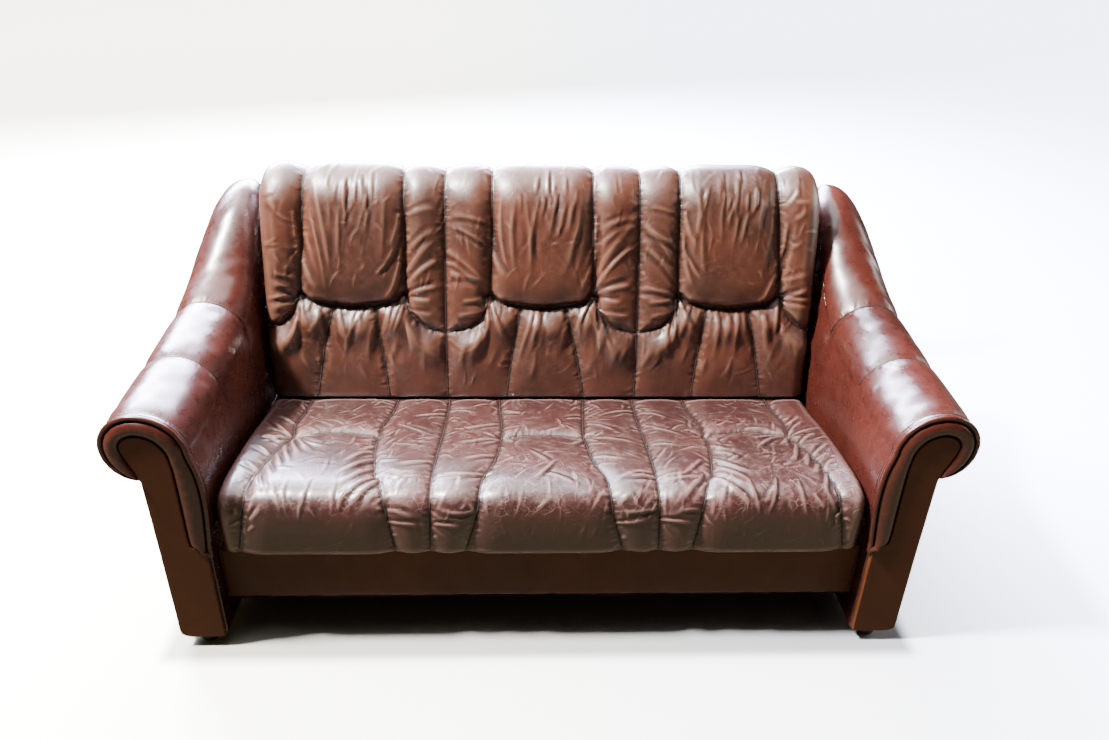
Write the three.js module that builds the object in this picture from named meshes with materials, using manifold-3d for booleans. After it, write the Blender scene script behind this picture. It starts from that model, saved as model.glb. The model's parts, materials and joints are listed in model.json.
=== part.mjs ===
// A two-and-a-half-seat leather sofa with rolled arms that sweep up to a high back.
// Millimetres, +Z up, +X to the sitter's left as seen from the front, +Y towards the back.
// The origin is on the floor at the centre of the sofa's box.
//
// The sofa comes apart into three upholstered units: a base with its seat, a back, and two arms that are
// bolted to the base. The right arm is built once, at +X, and the left arm is its mirror image.

import * as THREE from "three";
import { mergeVertices } from "three/addons/utils/BufferGeometryUtils.js";
import Module from "manifold-3d";

const wasm = await Module();
wasm.setup();

// ---------------------------------------------------------------- driving dimensions

const DEPTH = 854; // front boards to rear panel
const GAP = 0.4; // between pieces that touch
const LEG_HEIGHT = 30; // floor to the underside of the arms

const ARM_INNER_X = 763; // inner face of an arm
const ARM_BULGE = 15; // how far the padded inner face swells towards the seat
const ARM_BULGE_Z = 430;
const BULGE_FOOT_Z = 275; // the swelling starts above the base
const SIDE_X = 872; // outer face of an arm below its roll
const ROLL_X = 945; // outermost point of the roll
const ROLL_REAR_X = 930;
const ROLL_TOP_X = 862; // crest of the roll at the front
const WING_TOP_X = 803; // crest of the arm where it meets the back
const ARM_COVER = 8; // leather with its thin wadding
const ARM_FRONT_Y = 12; // front edge of the arm's cover
const ARM_REAR_Y = 850;
const BORDER_REAR_Y = 28; // rear of the padded border round a front board

const BOARD = 22; // thickness of a front board with its leather
const BOARD_INNER_X = 766;
const NOTCH_Z = 302; // top of the wide part of a front board
const NECK_X = 803; // inner edge of the narrow part
const NECK_Z = 486; // where the roll's underside meets the board

const BASE_X = 761; // half width of the base between the arms
const RAIL_FRONT_Y = 53;
const RAIL = 22; // thickness of the wooden rails
const RAIL_BOTTOM_Z = 113;
const RAIL_TOP_Z = 258;
const RAIL_COVER = 3;
const REAR_RAIL_Y = 826;
const REAR_X = ARM_INNER_X - ARM_BULGE - 1; // half width of the rear panel, between the arms
const DECK_Z = 262.5; // underside of the webbing at the rails
const DECK_SAG = 8;

const SEAT_X = 743; // half width of the seat cushion
const SEAT_BOTTOM_Z = 268.5;
const QUILT = 24; // leather sewn through its wadding, on the seat and the back

const BACK_X = 745; // half width of the back cushion
const BACK_BOTTOM_Z = 378;
const BACK_TOP_Z = 990;
const POST = 45; // depth of the back frame's posts
const POST_LEAN = 0.178; // run over rise
const POST_TOP_Z = 880;

// ---------------------------------------------------------------- finishes

const finish = (color, roughness) => new THREE.MeshStandardMaterial({ color, roughness, metalness: 0 });
const leather = finish(0x6b2c1e, 0.42);
const darkLeather = finish(0x51251a, 0.5);
const beech = finish(0xc39a6b, 0.7);
const plywood = finish(0xb8935f, 0.75);
const foam = finish(0xd9cfae, 0.95);
const webbing = finish(0x2d2a28, 0.9);
const cloth = finish(0x1b1b1c, 0.95);
const blackPlastic = finish(0x171513, 0.45);
const steel = new THREE.MeshStandardMaterial({ color: 0x9a9a98, roughness: 0.35, metalness: 1 });

// ---------------------------------------------------------------- building blocks

const sofa = new THREE.Group();
sofa.position.y = -DEPTH / 2; // inside the group, y runs from 0 at the front boards to DEPTH

const rightArm = new THREE.Group();
const leftArm = new THREE.Group();
leftArm.scale.x = -1;
sofa.add(rightArm, leftArm);

const mix = (a, b, t) => a + (b - a) * t;
const ramp = (v, from, to) => THREE.MathUtils.smoothstep(v, from, to);
const point = (u, v) => new THREE.Vector2(u, v);

function add(parent, name, geometry, material) {
  const mesh = new THREE.Mesh(geometry, material);
  mesh.name = name;
  parent.add(mesh);
}

// A box between two corners.
function block(x0, x1, y0, y1, z0, z1) {
  const geometry = new THREE.BoxGeometry(x1 - x0, y1 - y0, z1 - z0);
  return geometry.translate((x0 + x1) / 2, (y0 + y1) / 2, (z0 + z1) / 2);
}

// A closed outline in X and Z, given thickness along Y.
function plateXZ(outline, y0, y1) {
  const geometry = new THREE.ExtrudeGeometry(new THREE.Shape(outline), { depth: y1 - y0, bevelEnabled: false });
  return geometry.rotateX(Math.PI / 2).translate(0, y1, 0);
}

// A closed outline in Y and Z, given length along X.
function barYZ(outline, x0, x1) {
  const geometry = new THREE.ExtrudeGeometry(new THREE.Shape(outline), { depth: x1 - x0, bevelEnabled: false });
  const axes = new THREE.Matrix4().makeBasis(
    new THREE.Vector3(0, 1, 0),
    new THREE.Vector3(0, 0, 1),
    new THREE.Vector3(1, 0, 0),
  );
  return geometry.applyMatrix4(axes).translate(x0, 0, 0);
}

// A solid through a row of closed outlines with equal point counts. place(point, station) gives a corner.
function loft(stations, outlineAt, place) {
  const outlines = stations.map(outlineAt);
  if (THREE.ShapeUtils.isClockWise(outlines[0])) outlines.forEach((outline) => outline.reverse());
  const count = outlines[0].length;
  const corners = [];
  const faces = [];
  outlines.forEach((outline, i) => outline.forEach((p) => corners.push(...place(p, stations[i]).toArray())));
  for (let i = 0; i + 1 < outlines.length; i++) {
    for (let k = 0; k < count; k++) {
      const a = i * count + k;
      const b = i * count + ((k + 1) % count);
      faces.push(a, b, a + count, b, b + count, a + count);
    }
  }
  const last = (outlines.length - 1) * count;
  for (const [a, b, c] of THREE.ShapeUtils.triangulateShape(outlines[0], [])) {
    faces.push(a, c, b);
    faces.push(last + a, last + b, last + c);
  }
  const geometry = new THREE.BufferGeometry();
  geometry.setAttribute("position", new THREE.Float32BufferAttribute(corners, 3));
  geometry.setIndex(faces);
  return geometryOf(solid(geometry));
}

// A closed body for joining and cutting, turned to face outwards.
function solid(geometry) {
  const bare = new THREE.BufferGeometry();
  bare.setAttribute("position", geometry.getAttribute("position").clone());
  if (geometry.index) bare.setIndex(geometry.index.clone());
  const merged = mergeVertices(bare, 1e-3);
  const vertProperties = merged.attributes.position.array;
  const triVerts = new Uint32Array(merged.index.array);
  const body = new wasm.Manifold(new wasm.Mesh({ numProp: 3, vertProperties, triVerts }));
  if (body.volume() > 0) return body;
  for (let i = 0; i < triVerts.length; i += 3) {
    [triVerts[i + 1], triVerts[i + 2]] = [triVerts[i + 2], triVerts[i + 1]];
  }
  return new wasm.Manifold(new wasm.Mesh({ numProp: 3, vertProperties, triVerts }));
}

function geometryOf(body) {
  const { vertProperties, triVerts } = body.getMesh();
  const geometry = new THREE.BufferGeometry();
  geometry.setAttribute("position", new THREE.Float32BufferAttribute(vertProperties, 3));
  geometry.setIndex(new THREE.BufferAttribute(triVerts, 1));
  return geometry;
}

function cut(geometry, ...tools) {
  return geometryOf(tools.reduce((rest, tool) => rest.subtract(solid(tool)), solid(geometry)));
}

// A turned solid about a line parallel to Z or X, from a profile of [radius, height] pairs.
function turned(profile, segments = 14) {
  const geometry = new THREE.LatheGeometry(profile.map(([r, h]) => point(r, h)), segments);
  return geometry.rotateX(Math.PI / 2);
}

function rodAlongX(radius, x0, x1, y, z) {
  const geometry = new THREE.CylinderGeometry(radius, radius, x1 - x0, 12);
  return geometry.rotateZ(Math.PI / 2).translate((x0 + x1) / 2, y, z);
}

function rodAlongZ(radius, x, y, z0, z1) {
  const geometry = new THREE.CylinderGeometry(radius, radius, z1 - z0, 12);
  return geometry.rotateX(Math.PI / 2).translate(x, y, (z0 + z1) / 2);
}

// ---------------------------------------------------------------- arm shape

// The crest of an arm in Y and Z: level over the front half, then sweeping up to the back.
const crest = new THREE.SplineCurve([
  point(0, 655),
  point(250, 667),
  point(475, 700),
  point(590, 765),
  point(690, 855),
  point(775, 905),
  point(ARM_REAR_Y, 906),
]);
const crestPoints = crest.getPoints(120);

function crestZ(y) {
  const i = Math.max(1, crestPoints.findIndex((p) => p.x >= y));
  const [a, b] = [crestPoints[i - 1], crestPoints[i]];
  return mix(a.y, b.y, (y - a.x) / (b.x - a.x));
}

const rise = (y) => ramp(y, 470, 780); // 0 on the level front half, 1 at the wing
const underZ = (y) => NECK_Z + 7 + 35 * (y / ARM_REAR_Y);

// Half of an arm's outline at depth y, from the foot of the inner face up, over the roll and under it.
function armCurve(y, inset, steps) {
  const t = rise(y);
  const top = crestZ(y);
  const topX = mix(ROLL_TOP_X, WING_TOP_X, t);
  const outX = mix(ROLL_X, ROLL_REAR_X, t) - inset;
  const outZ = mix(573, 625, y / ARM_REAR_Y) + 35 * t;
  const shoulder = mix(98, 60, t);
  const innerX = ARM_INNER_X + inset;
  const points = [point(innerX - ARM_BULGE, ARM_BULGE_Z)];
  for (let k = 0; k <= steps; k++) {
    const a = (k / steps) * (Math.PI / 2);
    const z = top - shoulder + (shoulder - inset) * Math.sin(a);
    points.push(point(topX - (topX - innerX) * Math.cos(a), z));
  }
  for (let k = 1; k <= steps; k++) {
    const a = (k / steps) * (Math.PI / 2);
    points.push(point(topX + (outX - topX) * Math.sin(a), outZ + (top - inset - outZ) * Math.cos(a)));
  }
  for (let k = 1; k <= steps - 1; k++) {
    const a = (k / (steps - 1)) * 1.3;
    const x = topX + (outX - topX) * Math.cos(a);
    const z = outZ - (outZ - underZ(y) - inset) * (Math.sin(a) / Math.sin(1.3));
    points.push(point(Math.max(x, SIDE_X + 4), z));
  }
  return points;
}

const ARM_STEPS = 5;
const ARM_STATIONS = [ARM_FRONT_Y, 130, 250, 370, 475, 540, 600, 655, 710, 770, 825, ARM_REAR_Y];
const alongY = (p, y) => new THREE.Vector3(p.x, y, p.y);

function armOuter() {
  const outline = (y) => [
    point(ARM_INNER_X, LEG_HEIGHT),
    point(ARM_INNER_X, BULGE_FOOT_Z),
    ...armCurve(y, y === ARM_REAR_Y ? 10 : 0, ARM_STEPS),
    point(SIDE_X, underZ(y)),
    point(SIDE_X, LEG_HEIGHT),
  ];
  return loft(ARM_STATIONS, outline, alongY);
}

// What the cover is wrapped round. It runs out below and through the side, where the cover is open.
function armHollow() {
  const stations = ARM_STATIONS.map((y) => Math.min(y, ARM_REAR_Y - ARM_COVER));
  stations[0] = ARM_FRONT_Y - 6;
  const outline = (y) => [
    point(ARM_INNER_X + ARM_COVER, LEG_HEIGHT - 10),
    point(ARM_INNER_X + ARM_COVER, BULGE_FOOT_Z),
    ...armCurve(y, ARM_COVER, ARM_STEPS),
    point(SIDE_X + 3, underZ(y) + ARM_COVER),
    point(SIDE_X + 3, LEG_HEIGHT - 10),
  ];
  return loft(stations, outline, alongY);
}

const BOLT_YS = [150, 600];
const BOLT_Z = 180;
const BOLT_R = 4;
const boltHole = (x0, x1, y) => rodAlongX(BOLT_R + 0.6, x0, x1, y, BOLT_Z);
const boltHoles = (x0, x1) => BOLT_YS.map((y) => boltHole(x0, x1, y));

function armCover() {
  const forBoard = block(ARM_INNER_X - 20, SIDE_X + 10, -5, BOARD + GAP, 0, NOTCH_Z + GAP);
  const forNeck = block(SIDE_X - 10, SIDE_X + 12, -5, BORDER_REAR_Y + GAP, 0, NECK_Z + 18);
  const bolts = boltHoles(ARM_INNER_X - 20, ARM_INNER_X + 20);
  return cut(armOuter(), armHollow(), forBoard, forNeck, ...bolts);
}

const PAD_Z = 440; // the padding of the roll stands on the arm's top rail

function armPadding() {
  const stations = ARM_STATIONS.map((y) => Math.min(Math.max(y, BOARD + 10), ARM_REAR_Y - ARM_COVER - GAP));
  const outline = (y) => {
    const [bulge, ...roll] = armCurve(y, ARM_COVER + GAP, ARM_STEPS);
    const wall = SIDE_X - 4.6;
    return [point(bulge.x + 3, PAD_Z), ...roll, point(wall, underZ(y) + ARM_COVER + GAP), point(wall, PAD_Z)];
  };
  return loft(stations, outline, alongY);
}

// The narrow part and hooked head of a front board, from the notch up and round to the neck's outer edge.
function boardHook() {
  const head = new THREE.SplineCurve([
    point(NECK_X, 480),
    point(803, 528),
    point(811, 567),
    point(831, 594),
    point(860, 607),
    point(889, 601),
    point(904, 578),
    point(897, 549),
    point(882, 515),
    point(874, NECK_Z),
  ]).getPoints(27);
  const notch = [0, 0.5, 1].map((t) => {
    const a = t * (Math.PI / 2);
    return point(NECK_X - 20 + 20 * Math.sin(a), NOTCH_Z + 20 - 20 * Math.cos(a));
  });
  return [...notch, ...head];
}

function frontBoard() {
  const r = 14;
  const foot = [0, 0.5, 1].map((t) => {
    const a = t * (Math.PI / 2);
    return point(SIDE_X - r + r * Math.cos(a), LEG_HEIGHT + r - r * Math.sin(a));
  });
  const outline = [point(BOARD_INNER_X, LEG_HEIGHT), point(BOARD_INNER_X, NOTCH_Z), ...boardHook(), ...foot];
  return plateXZ(outline, 0, BOARD);
}

// The padded border between the front board and the piping.
const BORDER_INSET = ARM_COVER + 1.2;

function armBorder() {
  const hook = boardHook();
  const clear = hook.map((p, i) => {
    const before = hook[Math.max(i - 1, 0)];
    const after = hook[Math.min(i + 1, hook.length - 1)];
    const along = after.clone().sub(before).normalize();
    return point(p.x - along.y * 0.7, p.y + along.x * 0.7);
  });
  const [bulge, ...roll] = armCurve(ARM_FRONT_Y, BORDER_INSET, ARM_STEPS);
  const low = NOTCH_Z + 0.7;
  const inner = mix(ARM_INNER_X, bulge.x - BORDER_INSET, 0.3) + BORDER_INSET;
  return plateXZ([point(inner + 4, low), point(bulge.x + 2, ARM_BULGE_Z), ...roll, ...clear.reverse()], 2, BORDER_REAR_Y);
}

function armPiping() {
  const roll = armCurve(ARM_FRONT_Y, 0, 7).slice(1);
  const start = point(ARM_INNER_X - ARM_BULGE * 0.7, NOTCH_Z + 8);
  const bulge = point(ARM_INNER_X - ARM_BULGE, ARM_BULGE_Z);
  const route = new THREE.CatmullRomCurve3(
    [start, bulge, ...roll].map((p) => new THREE.Vector3(p.x, 7.4, p.y)),
  );
  const r = 3.8;
  const section = new THREE.Shape(
    [...Array(6).keys()].map((k) => point(r * Math.cos((k * Math.PI) / 3), r * Math.sin((k * Math.PI) / 3))),
  );
  return new THREE.ExtrudeGeometry(section, { steps: 34, extrudePath: route, bevelEnabled: false });
}

// ---------------------------------------------------------------- arms

function sidePanel() {
  const y0 = BOARD + GAP;
  const y1 = ARM_REAR_Y - ARM_COVER - GAP;
  const outline = [
    point(y0, LEG_HEIGHT),
    point(y1, LEG_HEIGHT),
    point(y1, underZ(y1) + 6),
    point(y0, underZ(y0) + 6),
  ];
  return barYZ(outline, SIDE_X - 4, SIDE_X);
}

const FOOT_X = 815;
const FOOT_YS = { front: 37, rear: 800 };
const ARM_WOOD = { x0: 775, x1: 862, y0: 30, y1: 838 };
const PANEL_X = 790;
const SCREW_R = 2.8;

function arm(parent, side) {
  const wood = ARM_WOOD;
  const screwHoles = Object.values(FOOT_YS).map((y) => rodAlongZ(SCREW_R + 0.5, FOOT_X, y, 0, 56));
  const bottomRail = block(wood.x0, wood.x1, wood.y0, wood.y1, LEG_HEIGHT, LEG_HEIGHT + 30);
  const low = LEG_HEIGHT + 30 + GAP;
  const high = PAD_Z - 15;

  add(parent, `${side}_arm_cover`, armCover(), leather);
  add(parent, `${side}_arm_padding`, armPadding(), foam);
  add(parent, `${side}_arm_border`, armBorder(), leather);
  add(parent, `${side}_arm_piping`, armPiping(), darkLeather);
  add(parent, `${side}_front_board`, frontBoard(), darkLeather);
  add(parent, `${side}_side_panel`, sidePanel(), darkLeather);
  add(parent, `${side}_arm_bottom_rail`, cut(bottomRail, ...screwHoles), beech);
  add(parent, `${side}_arm_top_rail`, block(wood.x0, wood.x1, wood.y0, wood.y1, high, PAD_Z - GAP), beech);
  add(parent, `${side}_arm_front_post`, block(wood.x0, wood.x1, wood.y0, wood.y0 + 20, low, high - GAP), beech);
  const panel = block(PANEL_X, PANEL_X + 18, wood.y0 + 20 + GAP, wood.y1, low, high - GAP);
  add(parent, `${side}_arm_panel`, cut(panel, ...boltHoles(PANEL_X - 5, PANEL_X + 25)), plywood);

  BOLT_YS.forEach((y, i) => add(parent, `${side}_arm_bolt_${i + 1}`, armBolt(y), steel));
  for (const [end, y] of Object.entries(FOOT_YS)) {
    add(parent, `${side}_${end}_foot`, foot(FOOT_X, y), blackPlastic);
    add(parent, `${side}_${end}_foot_screw`, footScrew(FOOT_X, y), steel);
  }
}

// A domed-head bolt that draws the arm on to the base's side rail. Its tip stands out of the rail.
function armBolt(y) {
  const headX = PANEL_X + 18 + GAP;
  const profile = [
    [0, 727],
    [BOLT_R, 727],
    [BOLT_R, headX],
    [10, headX],
    [8, headX + 4],
    [0, headX + 5],
  ];
  return turned(profile, 12).rotateY(Math.PI / 2).translate(0, y, BOLT_Z);
}

// A tapered glide foot, bored for its screw, with a deep countersink from below.
function foot(x, y) {
  const profile = [
    [SCREW_R + 0.6, 10],
    [8.5, 10],
    [8.5, 0],
    [20, 0],
    [22, 2],
    [28, LEG_HEIGHT - 5],
    [28, LEG_HEIGHT - GAP],
    [SCREW_R + 0.6, LEG_HEIGHT - GAP],
    [SCREW_R + 0.6, 10],
  ];
  return turned(profile, 18).translate(x, y, 0);
}

function footScrew(x, y) {
  const profile = [
    [0, 6],
    [7, 6],
    [7, 9.5],
    [SCREW_R, 9.5],
    [SCREW_R, 46],
    [0, 52],
  ];
  return turned(profile, 10).translate(x, y, 0);
}

arm(rightArm, "right");
arm(leftArm, "left");

// ---------------------------------------------------------------- base

const railRearY = RAIL_FRONT_Y + RAIL;
const SIDE_RAIL_X = 736;
const POST_X = [712, SIDE_RAIL_X - GAP];

const frontRail = block(-BASE_X + 2, BASE_X - 2, RAIL_FRONT_Y, railRearY, RAIL_BOTTOM_Z + 1, RAIL_TOP_Z);
add(sofa, "front_rail", frontRail, beech);

function frontRailCover() {
  const [front, low, high] = [RAIL_FRONT_Y - GAP, RAIL_BOTTOM_Z + 1 - GAP, RAIL_TOP_Z + GAP];
  const outline = [
    point(railRearY, low - RAIL_COVER),
    point(front - RAIL_COVER, low - RAIL_COVER),
    point(front - RAIL_COVER, high + RAIL_COVER),
    point(railRearY, high + RAIL_COVER),
    point(railRearY, high),
    point(front, high),
    point(front, low),
    point(railRearY, low),
  ];
  return barYZ(outline.reverse(), -BASE_X, BASE_X);
}
add(sofa, "front_rail_cover", frontRailCover(), darkLeather);

const rearRail = block(-BASE_X + 2, BASE_X - 2, REAR_RAIL_Y, REAR_RAIL_Y + RAIL, RAIL_BOTTOM_Z, DECK_Z - GAP);
add(sofa, "rear_rail", rearRail, beech);

for (const [parent, side] of [[rightArm, "right"], [leftArm, "left"]]) {
  const rail = block(SIDE_RAIL_X, BASE_X, railRearY + GAP, REAR_RAIL_Y - GAP, RAIL_BOTTOM_Z, 250);
  add(parent, `${side}_side_rail`, cut(rail, ...boltHoles(SIDE_RAIL_X - 5, BASE_X + 5)), beech);
}
const stretcher = block(-11, 11, railRearY + GAP, REAR_RAIL_Y - GAP, RAIL_BOTTOM_Z, 205);
add(sofa, "centre_stretcher", stretcher, beech);

// The sagging line of the deck in Y and Z, from the front rail to the rear one, as a band of a thickness.
function deckBand(lift, thickness) {
  const [y0, y1] = [RAIL_FRONT_Y + 4, REAR_RAIL_Y + RAIL - 4];
  const flat = [y0, railRearY];
  const middle = [1, 2, 3, 4, 5].map((k) => mix(railRearY, REAR_RAIL_Y, k / 6));
  const line = [...flat, ...middle, REAR_RAIL_Y, y1].map((y) => {
    const t = THREE.MathUtils.clamp((y - railRearY) / (REAR_RAIL_Y - railRearY), 0, 1);
    return point(y, DECK_Z + lift - DECK_SAG * 4 * t * (1 - t));
  });
  return [...line, ...line.map((p) => point(p.x, p.y + thickness)).reverse()];
}

const SEAT_STRAPS = 6;
const STRAP_WIDTH = 60;
for (let i = 0; i < SEAT_STRAPS; i++) {
  const x = mix(-610, 610, i / (SEAT_STRAPS - 1));
  const strap = barYZ(deckBand(0, 2.6), x - STRAP_WIDTH / 2, x + STRAP_WIDTH / 2);
  add(sofa, `seat_strap_${i + 1}`, strap, webbing);
}
add(sofa, "deck_cloth", barYZ(deckBand(3, 1.6), -700, 700), cloth);
const under = RAIL_BOTTOM_Z - RAIL_COVER - 2;
add(sofa, "dust_cover", block(-BASE_X + 1, BASE_X - 1, RAIL_FRONT_Y, 846, under - 1.5, under), cloth);

// ---------------------------------------------------------------- seat cushion

// Front edge up, over the crown, back to the rear. The cushion is open below, where its cover is tacked down.
function seatProfile(inset) {
  const skin = [
    point(34, SEAT_BOTTOM_Z),
    point(18, 296),
    point(9, 335),
    point(8, 375),
    point(17, 412),
    point(42, 433),
    point(100, 440),
    point(200, 434),
    point(320, 417),
    point(430, 396),
    point(525, 377),
    point(600, 374),
    point(610, 340),
    point(606, SEAT_BOTTOM_Z),
  ];
  const middle = point(320, 330);
  return skin.map((p) => {
    const reach = p.clone().sub(middle);
    return point(p.x - (inset * reach.x) / 300, p.y - (inset * reach.y) / 95);
  });
}

// Stations across a cushion: where they are, and how far the outline draws in there.
function crossStations(half, round) {
  const near = [0, 0.25, 0.6, 1].map((t) => [half - round * t, round * 0.5 * (1 - t) * (1 - t)]);
  return [...near.map(([x, inset]) => [-x, inset]), ...near.reverse()];
}

const acrossX = (p, [x]) => new THREE.Vector3(x, p.x, p.y);

function seatSolid(half, inset, bottom) {
  const outline = ([, edge]) => seatProfile(edge + inset).map((p, i, all) => {
    const ends = i === 0 || i === all.length - 1;
    return ends ? point(p.x, bottom) : p;
  });
  return loft(crossStations(half, 36), outline, acrossX);
}

add(sofa, "seat_cover", cut(seatSolid(SEAT_X, 0, SEAT_BOTTOM_Z), seatSolid(SEAT_X - QUILT, QUILT, 250)), leather);
add(sofa, "seat_foam", seatSolid(SEAT_X - QUILT - 2, QUILT + 1.5, SEAT_BOTTOM_Z), foam);

// ---------------------------------------------------------------- back frame

const postFront = (z) => 690 + (z - 262) * POST_LEAN;

function leaning(z0, z1, front, rear) {
  return [
    point(postFront(z0) + front, z0),
    point(postFront(z0) + rear, z0),
    point(postFront(z1) + rear, z1),
    point(postFront(z1) + front, z1),
  ];
}

for (const [parent, side] of [[rightArm, "right"], [leftArm, "left"]]) {
  const post = barYZ(leaning(RAIL_BOTTOM_Z, POST_TOP_Z, 0, POST), ...POST_X);
  add(parent, `${side}_back_post`, post, beech);
}
const betweenPosts = POST_X[0] - GAP;
const lowerRail = barYZ(leaning(290, 340, 4, POST - 4), -betweenPosts, betweenPosts);
const topRail = barYZ(leaning(POST_TOP_Z - 50, POST_TOP_Z, 0, POST), -betweenPosts, betweenPosts);
const centrePost = barYZ(leaning(340 + GAP, POST_TOP_Z - 50 - GAP, 6, POST - 6), -22, 22);
add(sofa, "lower_back_rail", lowerRail, beech);
add(sofa, "top_back_rail", topRail, beech);
add(sofa, "centre_back_post", centrePost, beech);

[450, 590, 730].forEach((z, i) => {
  const strap = barYZ(leaning(z, z + STRAP_WIDTH, -3.4, -GAP), -POST_X[1], POST_X[1]);
  add(sofa, `back_strap_${i + 1}`, strap, webbing);
});

// A leather-covered board closes the back and rolls over the top rail.
function rearPanel() {
  const outline = [
    point(849, RAIL_BOTTOM_Z),
    point(DEPTH, RAIL_BOTTOM_Z),
    point(DEPTH, 890),
    point(850, 900),
    point(840, 905),
    point(815, 905),
    point(806, 897),
    point(806, POST_TOP_Z + GAP),
    point(849, POST_TOP_Z + GAP),
  ];
  return barYZ(outline, -REAR_X, REAR_X);
}
add(sofa, "rear_panel", rearPanel(), darkLeather);

// ---------------------------------------------------------------- back cushion

const backRear = (z) => postFront(z) - 6;

// Front foot up, over the head roll, down the rear face, which lies on the webbing.
function backProfile(inset, drop) {
  const skin = [
    point(534, BACK_BOTTOM_Z),
    point(534, 420),
    point(546, 500),
    point(562, 580),
    point(582, 660),
    point(594, 750),
    point(612, 850),
    point(630, 920),
    point(660, 968),
    point(710, BACK_TOP_Z),
    point(762, 982),
    point(794, 950),
    point(799, 918),
    point(backRear(870), 870),
    point(backRear(620), 620),
    point(backRear(BACK_BOTTOM_Z), BACK_BOTTOM_Z),
  ];
  const middle = (z) => (560 + (z - 384) * 0.24 + backRear(z)) / 2;
  return skin.map((p) => {
    const reach = p.x - middle(p.y);
    const y = p.x - (Math.sign(reach) * inset * Math.min(Math.abs(reach), 60)) / 60;
    const lower = drop * ramp(p.y, 640, BACK_TOP_Z);
    const squeeze = inset * ramp(p.y, 880, BACK_TOP_Z);
    return point(y, p.y - lower - squeeze);
  });
}

const HEAD_ROUND = 100; // radius of the cushion's top corners

function cornerDrop(x) {
  const over = Math.max(0, Math.abs(x) - (BACK_X - HEAD_ROUND));
  return HEAD_ROUND - Math.sqrt(HEAD_ROUND * HEAD_ROUND - over * over * 0.96);
}

function backSolid(half, inset, bottom) {
  const near = [0, 8, 24, 50, HEAD_ROUND].map((d) => [half - d, 22 * Math.pow(1 - Math.min(d, 50) / 50, 2)]);
  const stations = [...near.map(([x, edge]) => [-x, edge]), ...near.reverse()];
  const outline = ([x, edge]) => backProfile(edge + inset, cornerDrop(x)).map((p, i, all) => {
    const ends = i === 0 || i === all.length - 1;
    return ends ? point(p.x, bottom) : p;
  });
  return loft(stations, outline, acrossX);
}

const backHollow = backSolid(BACK_X - QUILT, QUILT, 360);
add(sofa, "back_cover", cut(backSolid(BACK_X, 0, BACK_BOTTOM_Z), backHollow), leather);
add(sofa, "back_foam", backSolid(BACK_X - QUILT - 2, QUILT + 1.5, BACK_BOTTOM_Z), foam);

export default sofa;
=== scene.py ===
"""The worn leather sofa: its upholstery, boards, welts, feet and setting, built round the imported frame.

Lengths are in metres. Upholstery is laid out in the maker's coordinates: x across the sofa, y measured back
from the face of the front boards, z up from the floor.
"""

import json
import logging
import math
from dataclasses import dataclass, field
from enum import Enum
from typing import Callable, Sequence

import bpy
import numpy as np
from mathutils import Matrix, Vector

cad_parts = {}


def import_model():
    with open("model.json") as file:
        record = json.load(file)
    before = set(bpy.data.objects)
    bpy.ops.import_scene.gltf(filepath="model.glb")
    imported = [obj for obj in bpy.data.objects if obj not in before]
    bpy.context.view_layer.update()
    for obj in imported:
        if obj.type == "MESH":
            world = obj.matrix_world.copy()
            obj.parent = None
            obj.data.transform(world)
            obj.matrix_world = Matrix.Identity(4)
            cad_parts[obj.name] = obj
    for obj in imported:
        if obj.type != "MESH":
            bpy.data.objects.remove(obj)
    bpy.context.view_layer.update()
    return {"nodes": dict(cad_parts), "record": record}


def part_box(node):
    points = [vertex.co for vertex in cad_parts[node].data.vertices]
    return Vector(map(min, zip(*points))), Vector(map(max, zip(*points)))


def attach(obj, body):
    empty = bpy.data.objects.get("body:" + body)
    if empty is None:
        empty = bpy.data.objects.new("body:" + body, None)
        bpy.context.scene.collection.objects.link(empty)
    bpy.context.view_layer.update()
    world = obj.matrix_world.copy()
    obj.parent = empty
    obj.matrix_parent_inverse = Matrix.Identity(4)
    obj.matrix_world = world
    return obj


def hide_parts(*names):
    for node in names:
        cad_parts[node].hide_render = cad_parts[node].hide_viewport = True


log = logging.getLogger("sofa")
Array = np.ndarray
ROOT = "root"


class Side(Enum):
    """Which half of the sofa a piece belongs to, seen from the front."""

    LEFT = -1
    RIGHT = 1

    @property
    def word(self) -> str:
        """The word that starts the names of this side's pieces."""
        return self.name.lower()


class Seed(Enum):
    """Where the chance in each leather piece starts, so that it comes out the same every time."""

    BACK = 7
    SEAT = 21
    RIGHT_ARM = 33
    LEFT_ARM = 34
    BORDER = 5
    WELT = 9
    SIDE_PANEL = 11

    def chance(self) -> np.random.Generator:
        """A source of chance that starts here."""
        return np.random.default_rng(self.value)


# -------------------------------------------------------------------------------- numbers


def smooth(value: Array, low: float, high: float) -> Array:
    """A ramp with soft ends.

    Args:
        value: where to read the ramp.
        low: where it is 0.
        high: where it is 1.

    Returns:
        The ramp's height, from 0 to 1.
    """
    t = np.clip((np.asarray(value, float) - low) / (high - low), 0.0, 1.0)
    return t * t * (3.0 - 2.0 * t)


def spline(points: Sequence[Sequence[float]], samples: int) -> Array:
    """A smooth curve through points, sampled evenly along its length.

    Args:
        points: the points that the curve passes through.
        samples: how many points to return.

    Returns:
        An array of samples by the points' own number of coordinates.
    """
    p = np.asarray(points, float)
    padded = np.vstack([2 * p[0] - p[1], p, 2 * p[-1] - p[-2]])
    pieces = []
    for a, b, c, d in zip(padded[:-3], padded[1:-2], padded[2:-1], padded[3:]):
        t = np.linspace(0.0, 1.0, 16, endpoint=False)[:, None]
        pieces.append(
            0.5 * (
                2 * b + (c - a) * t + (2 * a - 5 * b + 4 * c - d) * t**2 + (3 * b - a - 3 * c + d) * t**3
            )
        )
    dense = np.vstack(pieces + [p[-1:]])
    return resample(dense, samples)


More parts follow.
